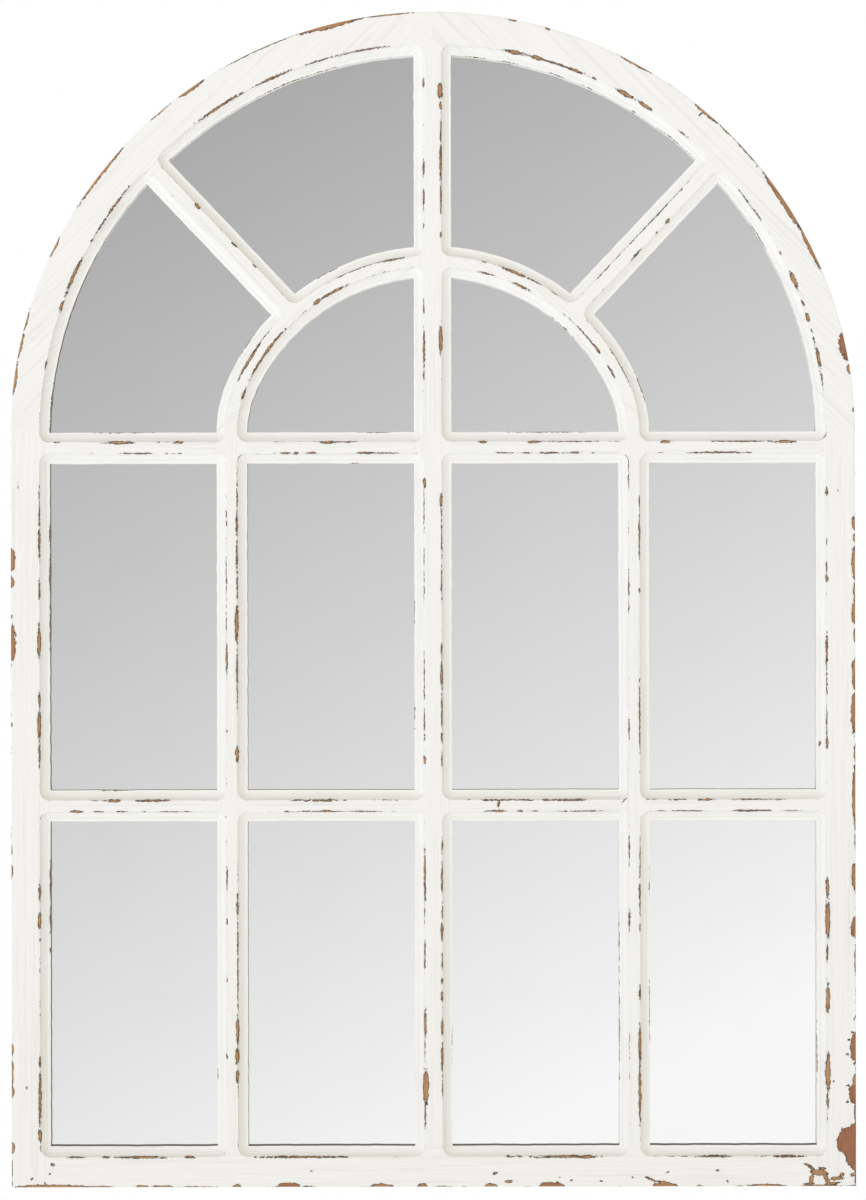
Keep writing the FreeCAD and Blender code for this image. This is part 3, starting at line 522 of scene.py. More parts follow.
class Wear:
    """All the chips, tied to the edges that they sit on."""

    reach = 2.5
    outside = 2.0
    face_red = 0.3
    red_from, red_to = 2.4, 6.0
    ledge_share = 0.2

    def __init__(self, layout: Layout, field_: Field) -> None:
        """Snaps every chip to its edge.

        Args:
            layout: the window's lines.
            field_: distances to its lips and its rim.
        """
        self.cove = layout.sizes.cove_width
        rows = [(Edge.ARRIS, ARRIS_CHIPS), (Edge.LIP, LIP_CHIPS), (Edge.RIM, RIM_CHIPS), (Edge.FACE, FACE_CHIPS)]
        self.chips = [Chip(edge, *row) for edge, table in rows for row in table]
        self.places, self.owners = [], []
        for chip in self.chips:
            centre = np.array([[chip.x, chip.z]], float)
            place, owner = centre, -1
            if chip.edge is Edge.RIM:
                place = nearest_on(field_.rim, centre)[1]
            elif chip.edge is not Edge.FACE:
                found = [nearest_on(loop, centre) for loop in field_.loops]
                owner = int(np.argmin([gap[0] for gap, _ in found]))
                foot = found[owner][1]
                off = centre - foot
                stand = self.cove if chip.edge is Edge.ARRIS else 0.0
                place = foot + stand * off / max(float(np.hypot(*off[0])), 1e-6)
            self.places.append(place[0])
            self.owners.append(owner)

    def measure(self, points: Points, lips: Points, owners: Points, rims: Points,
                down: Points) -> tuple[Points, Points]:
        """How deep each point lies in a chip.

        Args:
            points: places in the plane of the face.
            lips: their distance to the nearest lip.
            owners: the number of that lip's opening.
            rims: their distance to the outer rim.
            down: how far they lie behind the painted surface, down a side wall.

        Returns:
            Millimetres inside the nearest chip's edge, less than 0 outside it, and the chip's redness.
        """
        strength, red = np.full(len(points), -self.outside), np.zeros(len(points))
        for chip, place, owner in zip(self.chips, self.places, self.owners):
            half = chip.length / 2.0
            away = np.hypot(*(points - place).T)
            near = away < half + chip.width + self.reach
            if owner >= 0:
                near &= owners == owner
            near = np.flatnonzero(near)
            if not len(near):
                continue
            across, along = self._across(chip, place, points[near], lips[near], rims[near], down[near], away[near])
            size = chip.width if chip.edge is Edge.RIM else chip.width / 2.0
            value = size * (1.0 - np.hypot(along / half, across))
            stronger = value > strength[near]
            strength[near[stronger]] = value[stronger]
            most = 1.0 if chip.edge is Edge.RIM else self.face_red
            tone = most * np.clip((chip.width - self.red_from) / (self.red_to - self.red_from), 0.0, 1.0)
            red[near[stronger]] = tone
        return strength, red

    def _across(self, chip: Chip, place: Points, points: Points, lips: Points, rims: Points, down: Points,
                away: Points) -> tuple[Points, Points]:
        """Distance across a chip, as a share of its half width, and along it in millimetres."""
        if chip.edge is Edge.FACE:
            heading = math.radians(chip.heading)
            turned = (points - place) @ np.array([[math.cos(heading), -math.sin(heading)],
                                                  [math.sin(heading), math.cos(heading)]])
            return turned[:, 1] / (chip.width / 2.0), turned[:, 0]
        if chip.edge is Edge.RIM:
            gap, width = np.hypot(rims, down), chip.width
        elif chip.edge is Edge.LIP:
            gap, width = np.hypot(lips, down), chip.width / 2.0
        else:
            gap, width = np.abs(lips - self.cove - self.ledge_share * chip.width), chip.width / 2.0
        flat = rims if chip.edge is Edge.RIM else lips - (self.cove if chip.edge is Edge.ARRIS else 0.0)
        return gap / width, np.sqrt(np.maximum(away ** 2 - flat ** 2, 0.0))


# ======================================================================================================
# Boards
# ======================================================================================================

class Role(Enum):
    """How a board meets its neighbours behind the face."""

    FRAME = "frame"
    UPRIGHT = "upright"
    BAR = "bar"


@dataclass
class Board:
    """One wooden member: its outline in the plane of the face and how it is worked."""

    node: str
    outline: Callable[[float], Points]
    grain: float
    role: Role = Role.UPRIGHT
    crossings: list[tuple[float, float, float, float]] = field(default_factory=list)


class Relief:
    """Height of the painted surface behind the front plane."""

    rows_flat = (1.5, 3.0)
    rows_cove = (12.0, 25.0, 38.0, 50.0, 61.0, 71.0, 80.0)
    rows_arris = (0.0, 0.28, 0.7, 1.4, 2.5, 4.0)
    rows_rim = (0.3, 0.8, 1.6, 3.0, 5.0)
    arris_drop, arris_width = 0.16, 0.7
    rim_drop, rim_width = 0.42, 1.0
    dent, dent_width = 0.6, 2.5
    ripple = 0.045
    waver, waver_reach = 0.2, 14.0

    def __init__(self, layout: Layout) -> None:
        """Keeps the moulding's sizes and draws the ripples of the brushed paint.

        Args:
            layout: the window's lines.
        """
        self.layout = layout
        sizes = layout.sizes
        draw = np.random.default_rng(41)
        self.waves = [(draw.normal(0.0, 0.16, 2), draw.uniform(0.0, math.tau)) for _ in range(9)]
        self.sways = [(draw.normal(0.0, 0.22, 2), draw.uniform(0.0, math.tau, 2)) for _ in range(8)]
        cove = [sizes.cove_step + sizes.cove_radius * math.sin(math.radians(turn)) for turn in self.rows_cove]
        self.rows = list(self.rows_flat) + cove + [sizes.cove_width + gap for gap in self.rows_arris]

    def depth(self, lips: Points, rims: Points) -> Points:
        """Depth of the moulding, with its arris and rim eased."""
        sizes = self.layout.sizes
        cove = np.sqrt(np.maximum(sizes.cove_radius ** 2 - np.maximum(lips - sizes.cove_step, 0.0) ** 2, 0.0))
        cove = np.where(lips < sizes.cove_width, cove, 0.0)
        arris = self.arris_drop * (1.0 - np.minimum(np.abs(lips - sizes.cove_width) / self.arris_width, 1.0)) ** 2
        rim = self.rim_drop * (1.0 - np.minimum(rims / self.rim_width, 1.0)) ** 2
        return np.maximum(cove, arris) + rim

    def ripples(self, points: Points) -> Points:
        """Slow unevenness of the paint."""
        return self.ripple * sum(np.sin(points @ wave + shift) for wave, shift in self.waves) / len(self.waves)

    def sway(self, points: Points, lips: Points) -> Points:
        """Sideways waver of the painted edges beside the openings."""
        share = self.waver * (1.0 - smooth(lips, 0.0, self.waver_reach))
        moves = sum(np.sin((points @ wave)[:, None] + shift) for wave, shift in self.sways)
        return share[:, None] * moves * 2.0 / len(self.sways)


class Carpenter:
    """Cuts the boards' meshes."""

    def __init__(self, layout: Layout, detail: Detail) -> None:
        """Prepares what all boards share.

        Args:
            layout: the window's lines.
            detail: how finely to mesh.
        """
        self.layout, self.detail = layout, detail
        self.field = Field(layout, detail.measure)
        self.wear = Wear(layout, self.field)
        self.relief = Relief(layout)
        self.rebates = [closed(sides) for sides in layout.openings(layout.sizes.glass_rebate, detail.rebate)]
        self.panel = layout.panel_outline(detail.rebate)
        self.lattice = self._moulding_points()
        self.rim_lattice = self._rim_points()

    def _moulding_points(self) -> Points:
        """Places in rows beside every lip, fanned round the openings' corners."""
        kept = []
        for number, sides in enumerate(self.layout.openings(0.0, self.detail.column)):
            starts = []
            for points in sides:
                run = np.gradient(points, axis=0)
                run /= np.hypot(*run.T)[:, None]
                out = np.column_stack((run[:, 1], -run[:, 0]))
                starts.append((points, out))
            for index, (points, out) in enumerate(starts):
                corner, first = points[-1], out[-1]
                second = starts[(index + 1) % len(starts)][1][0]
                turn = math.atan2(first[0] * second[1] - first[1] * second[0], float(first @ second))
                steps = max(2, math.ceil(abs(math.degrees(turn)) / self.detail.corner_turn))
                angles = math.atan2(first[1], first[0]) + turn * np.arange(1, steps) / steps
                fan = np.column_stack((np.cos(angles), np.sin(angles)))
                for row in self.relief.rows:
                    kept.append(np.column_stack((points + row * out, np.full(len(points), row))))
                    kept.append(np.column_stack((corner + row * fan, np.full(len(fan), row))))
        points = np.vstack(kept)
        gap, _ = self.field.lips(points[:, :2])
        return points[gap > points[:, 2] - 0.2][:, :2]

    def _rim_points(self) -> Points:
        """Places in rows inside the outer rim."""
        loop = self.layout.outer_outline(self.detail.column)
        run = np.roll(loop, -1, 0) - np.roll(loop, 1, 0)
        run /= np.hypot(*run.T)[:, None]
        inward = np.column_stack((-run[:, 1], run[:, 0]))
        kept = [np.column_stack((loop + row * inward, np.full(len(loop), row))) for row in self.relief.rows_rim]
        points = np.vstack(kept)
        gap = self.field.rims(points[:, :2])
        return points[gap > points[:, 2] - 0.15][:, :2]

    def _flat_points(self, low: Points, high: Points) -> Points:
        """A coarse grid for the flat faces, and a fine one under the wide chips."""
        step = self.detail.flat
        x, z = np.meshgrid(np.arange(low[0], high[0], step), np.arange(low[1], high[1], step))
        grid = np.column_stack((x.ravel(), z.ravel()))
        gap, _ = self.field.lips(grid)
        rim = self.field.rims(grid)
        clear = (gap > self.relief.rows[-1] + 1.0) & (rim > self.relief.rows_rim[-1] + 1.0)
        kept = [grid[clear]]
        for chip, place in zip(self.wear.chips, self.wear.places):
            if chip.edge is not Edge.FACE and chip.width < 4.0:
                continue
            size = max(chip.length, chip.width) / 2.0 + 1.0
            if chip.edge is Edge.RIM:
                size = max(chip.length / 2.0, chip.width) + 1.0
            if (place + size < low).any() or (place - size > high).any():
                continue
            steps = np.arange(-size, size, self.detail.chip)
            x, z = np.meshgrid(place[0] + steps, place[1] + steps)
            patch = np.column_stack((x.ravel(), z.ravel()))
            gap, owners = self.field.lips(patch)
            rims = self.field.rims(patch)
            strength, _ = self.wear.measure(patch, gap, owners, rims, np.zeros(len(patch)))
            moulding = gap < self.relief.rows[-1] + 0.4
            kept.append(patch[(strength > -1.2) & ~moulding & (rims > 1.0)])
        return np.vstack(kept)

    def _constraints(self, board: Board, low: Points, high: Points) -> list[Points]:
        """Lines that the mesh must follow behind and, on a bar, in front."""
        lines = []
        for loop in self.rebates + ([self.panel] if board.role is Role.FRAME else []):
            if (loop.max(0) > low).all() and (loop.min(0) < high).all():
                lines.append(np.vstack([loop, loop[:1]]))
        step = self.detail.outline
        for x_low, x_high, z_low, z_high in board.crossings:
            if board.role is Role.BAR:
                ends = [((x, z_low), (x, z_high)) for x in (x_low, x_high)]
            else:
                ends = [((x_low, z), (x_high, z)) for z in (z_low, z_high)]
            lines += [side(line(start, end, step), end=end) for start, end in ends]
        return lines

    def _back_levels(self, board: Board, places: Points) -> Points:
        """Depth of the back surface at places on a board."""
        layout = self.layout
        level = np.full(len(places), layout.glass_back)
        if board.role is Role.FRAME:
            level[~inside(places, self.panel)] = layout.back
        for loop in self.rebates:
            low, high = loop.min(0), loop.max(0)
            near = np.flatnonzero(((places > low) & (places < high)).all(1))
            level[near[inside(places[near], loop)]] = layout.glass_front
        if board.role is Role.UPRIGHT:
            level[self._in_crossing(board, places)] = layout.halved_level
        return level

    @staticmethod
    def _in_crossing(board: Board, places: Points) -> Points:
        """Which places lie where another member passes."""
        hit = np.zeros(len(places), bool)
        for x_low, x_high, z_low, z_high in board.crossings:
            x, z = places.T
            hit |= (x > x_low) & (x < x_high) & (z > z_low) & (z < z_high)
        return hit

    def cut(self, board: Board) -> bpy.types.Object:
        """Builds one board as a closed mesh.

        Args:
            board: the member to build.

        Returns:
            The new object, in metres.
        """
        outline = board.outline(self.detail.outline)
        low, high = outline.min(0), outline.max(0)
        lines = self._constraints(board, low, high)
        plan = Plan.draw(outline, lines)
        levels = self._back_levels(board, plan.middles())
        shell = Shell(self, board, plan, levels)
        extra = self._inner_points(board, plan, lines, low, high)
        shell.add_front(extra)
        shell.add_back()
        shell.add_walls()
        return shell.to_object()

    def _inner_points(self, board: Board, plan: "Plan", lines: list[Points], low: Points, high: Points) -> Points:
        """The rows and grids that fall on a board, clear of its edges."""
        pool = np.vstack([self.lattice, self.rim_lattice, self._flat_points(low, high)])
        pool = pool[((pool > low) & (pool < high)).all(1)]
        pool = pool[inside(pool, board.outline(self.detail.membership))]
        avoid = [plan.points]
        if board.role is Role.BAR:
            pool = pool[~self._in_crossing(board, pool)]
        avoid = np.vstack(avoid)
        tree = KDTree(len(avoid))
        for index, (x, z) in enumerate(avoid):
            tree.insert((x, z, 0.0), index)
        tree.balance()
        clear = [tree.find((x, z, 0.0))[2] > self.detail.keep_off for x, z in pool]
        return pool[np.array(clear, bool)]


@dataclass
class Plan:
    """A flat triangulation of a board's outline."""

    points: Points
    triangles: Points

    @classmethod
    def draw(cls, outline: Points, lines: list[Points], extra: Points = np.empty((0, 2))) -> "Plan":
        """Triangulates an outline so that its edges follow the lines.

        Args:
            outline: the closed outline.
            lines: open lines that the edges must follow.
            extra: more points to use.

        Returns:
            The plan with the triangles that lie inside the outline.
        """
        points, edges = [outline], []
        count = len(outline)
        for run in lines:
            edges += [(count + step, count + step + 1) for step in range(len(run) - 1)]
            points.append(run)
            count += len(run)
        points.append(extra)
        merged = [Vector(place) for place in np.vstack(points)]
        verts, _, faces, _, _, owners = delaunay_2d_cdt(
            merged, edges, [list(range(len(outline)))], 0, 1e-5, True)
        kept = np.array([face for face, owner in zip(faces, owners) if owner], int)
        flat = np.array([tuple(vert) for vert in verts])
        used = np.unique(kept)
        renumber = np.zeros(len(flat), int)
        renumber[used] = np.arange(len(used))
        return cls(flat[used], renumber[kept])

    def middles(self) -> Points:
        """The middle of every triangle."""
        return self.points[self.triangles].mean(1)

    def half_edges(self) -> dict[tuple[int, int], int]:
        """The triangle to the left of every directed edge."""
        table = {}
        for number, (a, b, c) in enumerate(self.triangles):
            table[(a, b)] = table[(b, c)] = table[(c, a)] = number
        return table

    def rim(self) -> list[int]:
        """The corners round the outline, in order."""
        table = self.half_edges()
        after = {a: b for a, b in table if (b, a) not in table}
        start = next(iter(after))
        loop, here = [start], after[start]
        while here != start:
            loop.append(here)
            here = after[here]
        return loop


class Shell:
    """Gathers a board's front, back and walls into one closed mesh."""

    rim_levels = (2.0, 4.0, 9.0, 19.0)
    on_rim = 0.05

    def __init__(self, shop: Carpenter, board: Board, plan: Plan, levels: Points) -> None:
        """Starts an empty mesh.

        Args:
            shop: the sizes and distances shared by all boards.
            board: the member that is built.
            plan: the plan of its back.
            levels: the back's depth at each triangle of the plan.
        """
        self.shop, self.board, self.plan, self.levels = shop, board, plan, levels
        self.places: list[tuple[float, float, float]] = []
        self.faces: list[tuple[int, ...]] = []
        self.columns: dict[int, dict[float, int]] = {}
        self.front_of: dict[tuple[int, bool], int] = {}

    def _corner(self, number: int, y: float) -> int:
        """The vertex of a plan corner at a depth."""
        column = self.columns.setdefault(int(number), {})
        if y not in column:
            column[y] = len(self.places)
            x, z = self.plan.points[number]
            self.places.append((float(x), y, float(z)))
        return column[y]

    def add_front(self, extra: Points) -> None:
        """Adds the painted face, with its moulding, ripples and dents."""
        layout, relief = self.shop.layout, self.shop.relief
        loop = self.plan.rim()
        rim_points = self.plan.points[loop]
        lines = []
        if self.board.role is Role.BAR:
            on_line = self._crossing_runs()
            lines = [self.plan.points[run] for run in on_line]
        plan = Plan.draw(rim_points, lines, extra)
        lips, owners = self.shop.field.lips(plan.points)
        rims = self.shop.field.rims(plan.points)
        strength, _ = self.shop.wear.measure(plan.points, lips, owners, rims, np.zeros(len(lips)))
        depth = relief.depth(lips, rims) + relief.ripples(plan.points) * smooth(rims, 0.0, 6.0)
        depth += relief.dent * smooth(strength, -0.1, 0.3)
        heights = layout.front + np.maximum(depth, 0.0)
        heights = np.where(lips < layout.sizes.cove_step + 0.1, np.minimum(heights, layout.step_level + 0.3), heights)
        halved = np.zeros(len(plan.triangles), bool)
        if self.board.role is Role.BAR:
            halved = self.shop._in_crossing(self.board, plan.middles())
        tree = KDTree(len(self.plan.points))
        for index, (x, z) in enumerate(self.plan.points):
            tree.insert((x, z, 0.0), index)
        tree.balance()
        numbers = {}
        for triangle, low in zip(plan.triangles, halved):
            face = []
            for corner in triangle:
                key = (int(corner), bool(low))
                if key not in numbers:
                    y = layout.halved_level if low else float(heights[corner])
                    x, z = plan.points[corner]
                    _, index, gap = tree.find((x, z, 0.0))
                    if gap < 1e-3:
                        numbers[key] = self._corner(index, y)
                        self.front_of[(index, bool(low))] = y
                    else:
                        numbers[key] = len(self.places)
                        self.places.append((float(x), y, float(z)))
                face.append(numbers[key])
            self.faces.append(tuple(face))

    def _crossing_runs(self) -> list[list[int]]:
        """The plan's corners along each line where a bar is halved."""
        runs = []
        x, z = self.plan.points.T
        for x_low, x_high, z_low, z_high in self.board.crossings:
            for edge in (x_low, x_high):
                hits = np.flatnonzero((np.abs(x - edge) < 1e-4) & (z > z_low - 1e-4) & (z < z_high + 1e-4))
                runs.append(list(hits[np.argsort(z[hits])]))
        return runs

    def add_back(self) -> None:
        """Adds the back, in terraces."""
        for triangle, level in zip(self.plan.triangles, self.levels):
            self.faces.append(tuple(self._corner(corner, float(level)) for corner in reversed(triangle)))

    def add_walls(self) -> None:
        """Adds the walls round the outline and between the terraces."""
        table = self.plan.half_edges()
        halves = self._halved_edges()
        outer = {}
        for (a, b), number in table.items():
            if (b, a) not in table:
                outer[(a, b)] = number
        rims = self.shop.field.rims(self.plan.points)
        for (a, b) in outer:
            if max(rims[a], rims[b]) < self.on_rim:
                for corner in (a, b):
                    for level in self.rim_levels:
                        self._corner(corner, self.shop.layout.front + level)
        for (a, b), number in outer.items():
            low = (a, b) in halves
            self._wall(a, b, self.front_of[(a, low)], self.front_of[(b, low)], float(self.levels[number]))
        for (a, b), number in table.items():
            other = table.get((b, a))
            if other is not None and self.levels[number] > self.levels[other]:
                self._wall(a, b, float(self.levels[other]), float(self.levels[other]), float(self.levels[number]))
        if self.board.role is Role.BAR:
            self._halving_walls()

    def _halved_edges(self) -> set[tuple[int, int]]:
        """The outline's edges along which a bar is halved in front."""
        if self.board.role is not Role.BAR:
            return set()
        loop = self.plan.rim()
        pairs = list(zip(loop, loop[1:] + loop[:1]))
        middles = np.array([(self.plan.points[a] + self.plan.points[b]) / 2.0 for a, b in pairs])
        x = middles[:, 0]
        hit = np.zeros(len(pairs), bool)
        for x_low, x_high, _, _ in self.board.crossings:
            hit |= (x > x_low) & (x < x_high)
        return {pair for pair, low in zip(pairs, hit) if low}

    def _halving_walls(self) -> None:
        """Walls from a bar's moulded face down to its halved part."""
        level = self.shop.layout.halved_level
        for index, run in enumerate(self._crossing_runs()):
            upward = index % 2 == 0
            for a, b in zip(run, run[1:]):
                start, end = (a, b) if upward else (b, a)
                self._wall(start, end, self.front_of[(start, False)], self.front_of[(end, False)], level, flip=True)

    def _wall(self, a: int, b: int, top_a: float, top_b: float, bottom: float, flip: bool = False) -> None:
        """One wall from a to b, its outside to the right of that way.

        Args:
            a: plan corner where it starts.
            b: plan corner where it ends.
            top_a: depth of its front edge at a.
            top_b: depth of its front edge at b.
            bottom: depth of its rear edge.
            flip: whether its outside is to the left instead.
        """
        left = self._between(a, top_a, bottom)
        right = self._between(b, top_b, bottom)
        if len(left) == len(right):
            rings = [(left[n], left[n + 1], right[n + 1], right[n]) for n in range(len(left) - 1)]
        else:
            rings = [tuple(left + right[::-1])]
        for ring in rings:
            self.faces.append(ring[::-1] if flip else ring)

    def _between(self, corner: int, top: float, bottom: float) -> list[int]:
        """The vertices of a plan corner from one depth to another."""
        self._corner(corner, top)
        self._corner(corner, bottom)
        column = self.columns[int(corner)]
        return [column[y] for y in sorted(column) if top <= y <= bottom]

    def to_object(self) -> bpy.types.Object:
        """Writes the mesh, its wear and its grain.

        Returns:
            The board's object.
        """
        layout, relief = self.shop.layout, self.shop.relief
        places = np.array(self.places)
        flat = places[:, [0, 2]]
        lips, owners = self.shop.field.lips(flat)
        rims = self.shop.field.rims(flat)
        surface = layout.front + relief.depth(lips, rims)
        down = np.maximum(places[:, 1] - surface - relief.dent, 0.0)
        strength, red = self.shop.wear.measure(flat, lips, owners, rims, down)
        moved = places.copy()
        moved[:, [0, 2]] += relief.sway(flat, lips) * smooth(rims, 0.0, 8.0)[:, None]
        heading = math.radians(self.board.grain)
        turn = np.array([[math.cos(heading), -math.sin(heading)], [math.sin(heading), math.cos(heading)]])
        along = flat @ turn
        seed = sum(ord(letter) * (n + 1) for n, letter in enumerate(self.board.node))
        grain = np.column_stack((along[:, 0] + seed, along[:, 1] + 3.7 * seed, places[:, 1])) * MM
        mesh = bpy.data.meshes.new(self.board.node + "_board")
        mesh.from_pydata((moved * MM).tolist(), [], self.faces)
        values = {"gap": lips - layout.sizes.cove_width, "rim": rims, "edge": np.hypot(rims, down),
                  "chip": strength, "red": red}
        for name, value in values.items():
            mesh.attributes.new(name, "FLOAT", "POINT").data.foreach_set("value", value.astype(np.float32))
        mesh.attributes.new("grain", "FLOAT_VECTOR", "POINT").data.foreach_set(
            "vector", grain.astype(np.float32).ravel())
        mesh.validate()
        mesh.shade_smooth()
        mesh.set_sharp_from_angle(angle=math.radians(42.0))
        board = bpy.data.objects.new(self.board.node + "_board", mesh)
        bpy.context.scene.collection.objects.link(board)
        return board


# ======================================================================================================
# Shader writing
# ======================================================================================================

Term = Union["Value", float]


class Value:
    """A shader socket that can be used in arithmetic."""

    def __init__(self, graph: "Graph", socket: bpy.types.NodeSocket) -> None:
        """Wraps an output socket."""
        self.graph, self.socket = graph, socket

    def _maths(self, operation: str, *terms: Term) -> "Value":
        """A Math node on the terms."""
        return self.graph.node("ShaderNodeMath", {"operation": operation}, dict(enumerate(terms)))

    def __add__(self, other: Term) -> "Value":
        """Sum."""
        return self._maths("ADD", self, other)

    def __radd__(self, other: Term) -> "Value":
        """Sum with a number in front."""
        return self._maths("ADD", other, self)

    def __sub__(self, other: Term) -> "Value":
        """Difference."""
        return self._maths("SUBTRACT", self, other)

    def __rsub__(self, other: Term) -> "Value":
        """Difference from a number."""
        return self._maths("SUBTRACT", other, self)

    def __mul__(self, other: Term) -> "Value":
        """Product."""
        return self._maths("MULTIPLY", self, other)

    def __rmul__(self, other: Term) -> "Value":
        """Product with a number in front."""
        return self._maths("MULTIPLY", other, self)

    def __truediv__(self, other: Term) -> "Value":
        """Quotient."""
        return self._maths("DIVIDE", self, other)

    def __rtruediv__(self, other: Term) -> "Value":
        """Quotient of a number."""
        return self._maths("DIVIDE", other, self)

    def __pow__(self, other: Term) -> "Value":
        """Power."""
        return self._maths("POWER", self, other)

    def __rpow__(self, other: Term) -> "Value":
        """Power of a number."""
        return self._maths("POWER", other, self)

    def __abs__(self) -> "Value":
        """Size without sign."""
        return self._maths("ABSOLUTE", self)

    def at_most(self, other: Term) -> "Value":
        """The smaller of two."""
        return self._maths("MINIMUM", self, other)

    def at_least(self, other: Term) -> "Value":
        """The larger of two."""
        return self._maths("MAXIMUM", self, other)

    def rise(self, low: float, high: float) -> "Value":
        """Rises smoothly from 0 at low to 1 at high."""
        return self.graph.node("ShaderNodeMapRange", {"interpolation_type": "SMOOTHSTEP"},
                               {"Value": self, "From Min": low, "From Max": high})

    def fall(self, low: float, high: float) -> "Value":
        """Falls smoothly from 1 at low to 0 at high."""
        return 1.0 - self.rise(low, high)


Colour = tuple[float, float, float]
Input = Union[Value, float, Colour, tuple[float, ...]]


def srgb(red: int, green: int, blue: int) -> Colour:
    """A colour as it shows on screen, in the renderer's linear values."""
    def linear(level: int) -> float:
        share = level / 255.0
        return share / 12.92 if share <= 0.04045 else ((share + 0.055) / 1.055) ** 2.4
    return linear(red), linear(green), linear(blue)


class Graph:
    """Writes the nodes of one material or world."""

    def __init__(self, owner: Union[bpy.types.Material, bpy.types.World]) -> None:
        """Empties the owner's node tree."""
        owner.use_nodes = True
        self.tree = owner.node_tree
        self.tree.nodes.clear()

    def node(self, kind: str, settings: dict[str, object], inputs: dict[Union[int, str], Input],
             output: Union[int, str] = 0) -> Value:
        """Adds a node.

        Args:
            kind: the node's type.
            settings: what is set on it first; stops are a ramp's places and colours.
            inputs: values or links, by socket name or number.
            output: which output to use.

        Returns:
            The chosen output.
        """
        made = self.tree.nodes.new(kind)
        for name, setting in settings.items():
            if name == "stops":
                self._stops(made.color_ramp, setting)
            else:
                setattr(made, name, setting)
        for key, value in inputs.items():
            socket = made.inputs[key]
            if isinstance(value, Value):
                self.tree.links.new(value.socket, socket)
            elif socket.type == "RGBA":
                socket.default_value = (*value[:3], 1.0)
            else:
                socket.default_value = value
        return Value(self, made.outputs[output]) if len(made.outputs) else Value(self, made.inputs[0])

    @staticmethod
    def _stops(ramp: bpy.types.ColorRamp, stops: list[tuple[float, Colour]]) -> None:
        """Sets a ramp's stops."""
        while len(ramp.elements) < len(stops):
            ramp.elements.new(0.5)
        for element, (place, colour) in zip(ramp.elements, stops):
            element.position = place
            element.color = (*colour, 1.0)

    def attribute(self, name: str, output: str = "Fac") -> Value:
        """A value stored in the mesh."""
        return self.node("ShaderNodeAttribute", {"attribute_name": name}, {}, output)

    def place(self) -> Value:
        """The object's own coordinates."""
        return self.node("ShaderNodeTexCoord", {}, {}, "Object")

    def scaled(self, vector: Value, factors: tuple[float, float, float]) -> Value:
        """A vector with each part multiplied."""
        return self.node("ShaderNodeVectorMath", {"operation": "MULTIPLY"}, {0: vector, 1: factors})

    def parts(self, vector: Value) -> tuple[Value, Value, Value]:
        """The three parts of a vector."""
        first = self.node("ShaderNodeSeparateXYZ", {}, {0: vector}, "X")
        outputs = first.socket.node.outputs
        return first, Value(self, outputs["Y"]), Value(self, outputs["Z"])

    def noise(self, vector: Value, scale: float, detail: float = 3.0, roughness: float = 0.5) -> Value:
        """Soft noise between 0 and 1."""
        return self.node("ShaderNodeTexNoise", {}, {"Vector": vector, "Scale": scale, "Detail": detail,
                                                    "Roughness": roughness})

    def mix(self, share: Term, first: Input, second: Input) -> Value:
        """A colour between two."""
        return self.node("ShaderNodeMix", {"data_type": "RGBA"}, {0: share, 6: first, 7: second}, 2)

    def bump(self, height: Value, distance: float, strength: float = 1.0) -> Value:
        """A normal from a height in metres times distance."""
        return self.node("ShaderNodeBump", {}, {"Height": height, "Distance": distance, "Strength": strength})

    def surface(self, **inputs: Input) -> Value:
        """The principled shader; names use underscores for spaces."""
        named = {name.replace("_", " "): value for name, value in inputs.items()}
        return self.node("ShaderNodeBsdfPrincipled", {}, named)

    def finish(self, shader: Value, kind: str = "ShaderNodeOutputMaterial") -> None:
        """Ends the graph."""
        self.node(kind, {}, {"Surface": shader})


class Finish:
    """A surface finish that makes its material once."""

    name: str

    def write(self, graph: Graph) -> Value:
        """Adds the finish's nodes and returns its shader."""
        raise NotImplementedError

    def material(self) -> bpy.types.Material:
        """The finish's material.

        Returns:
            The material, made at the first call.
        """
        known = bpy.data.materials.get(self.name)
        if known:
            return known
        made = bpy.data.materials.new(self.name)
        graph = Graph(made)
        graph.finish(self.write(graph))
        return made


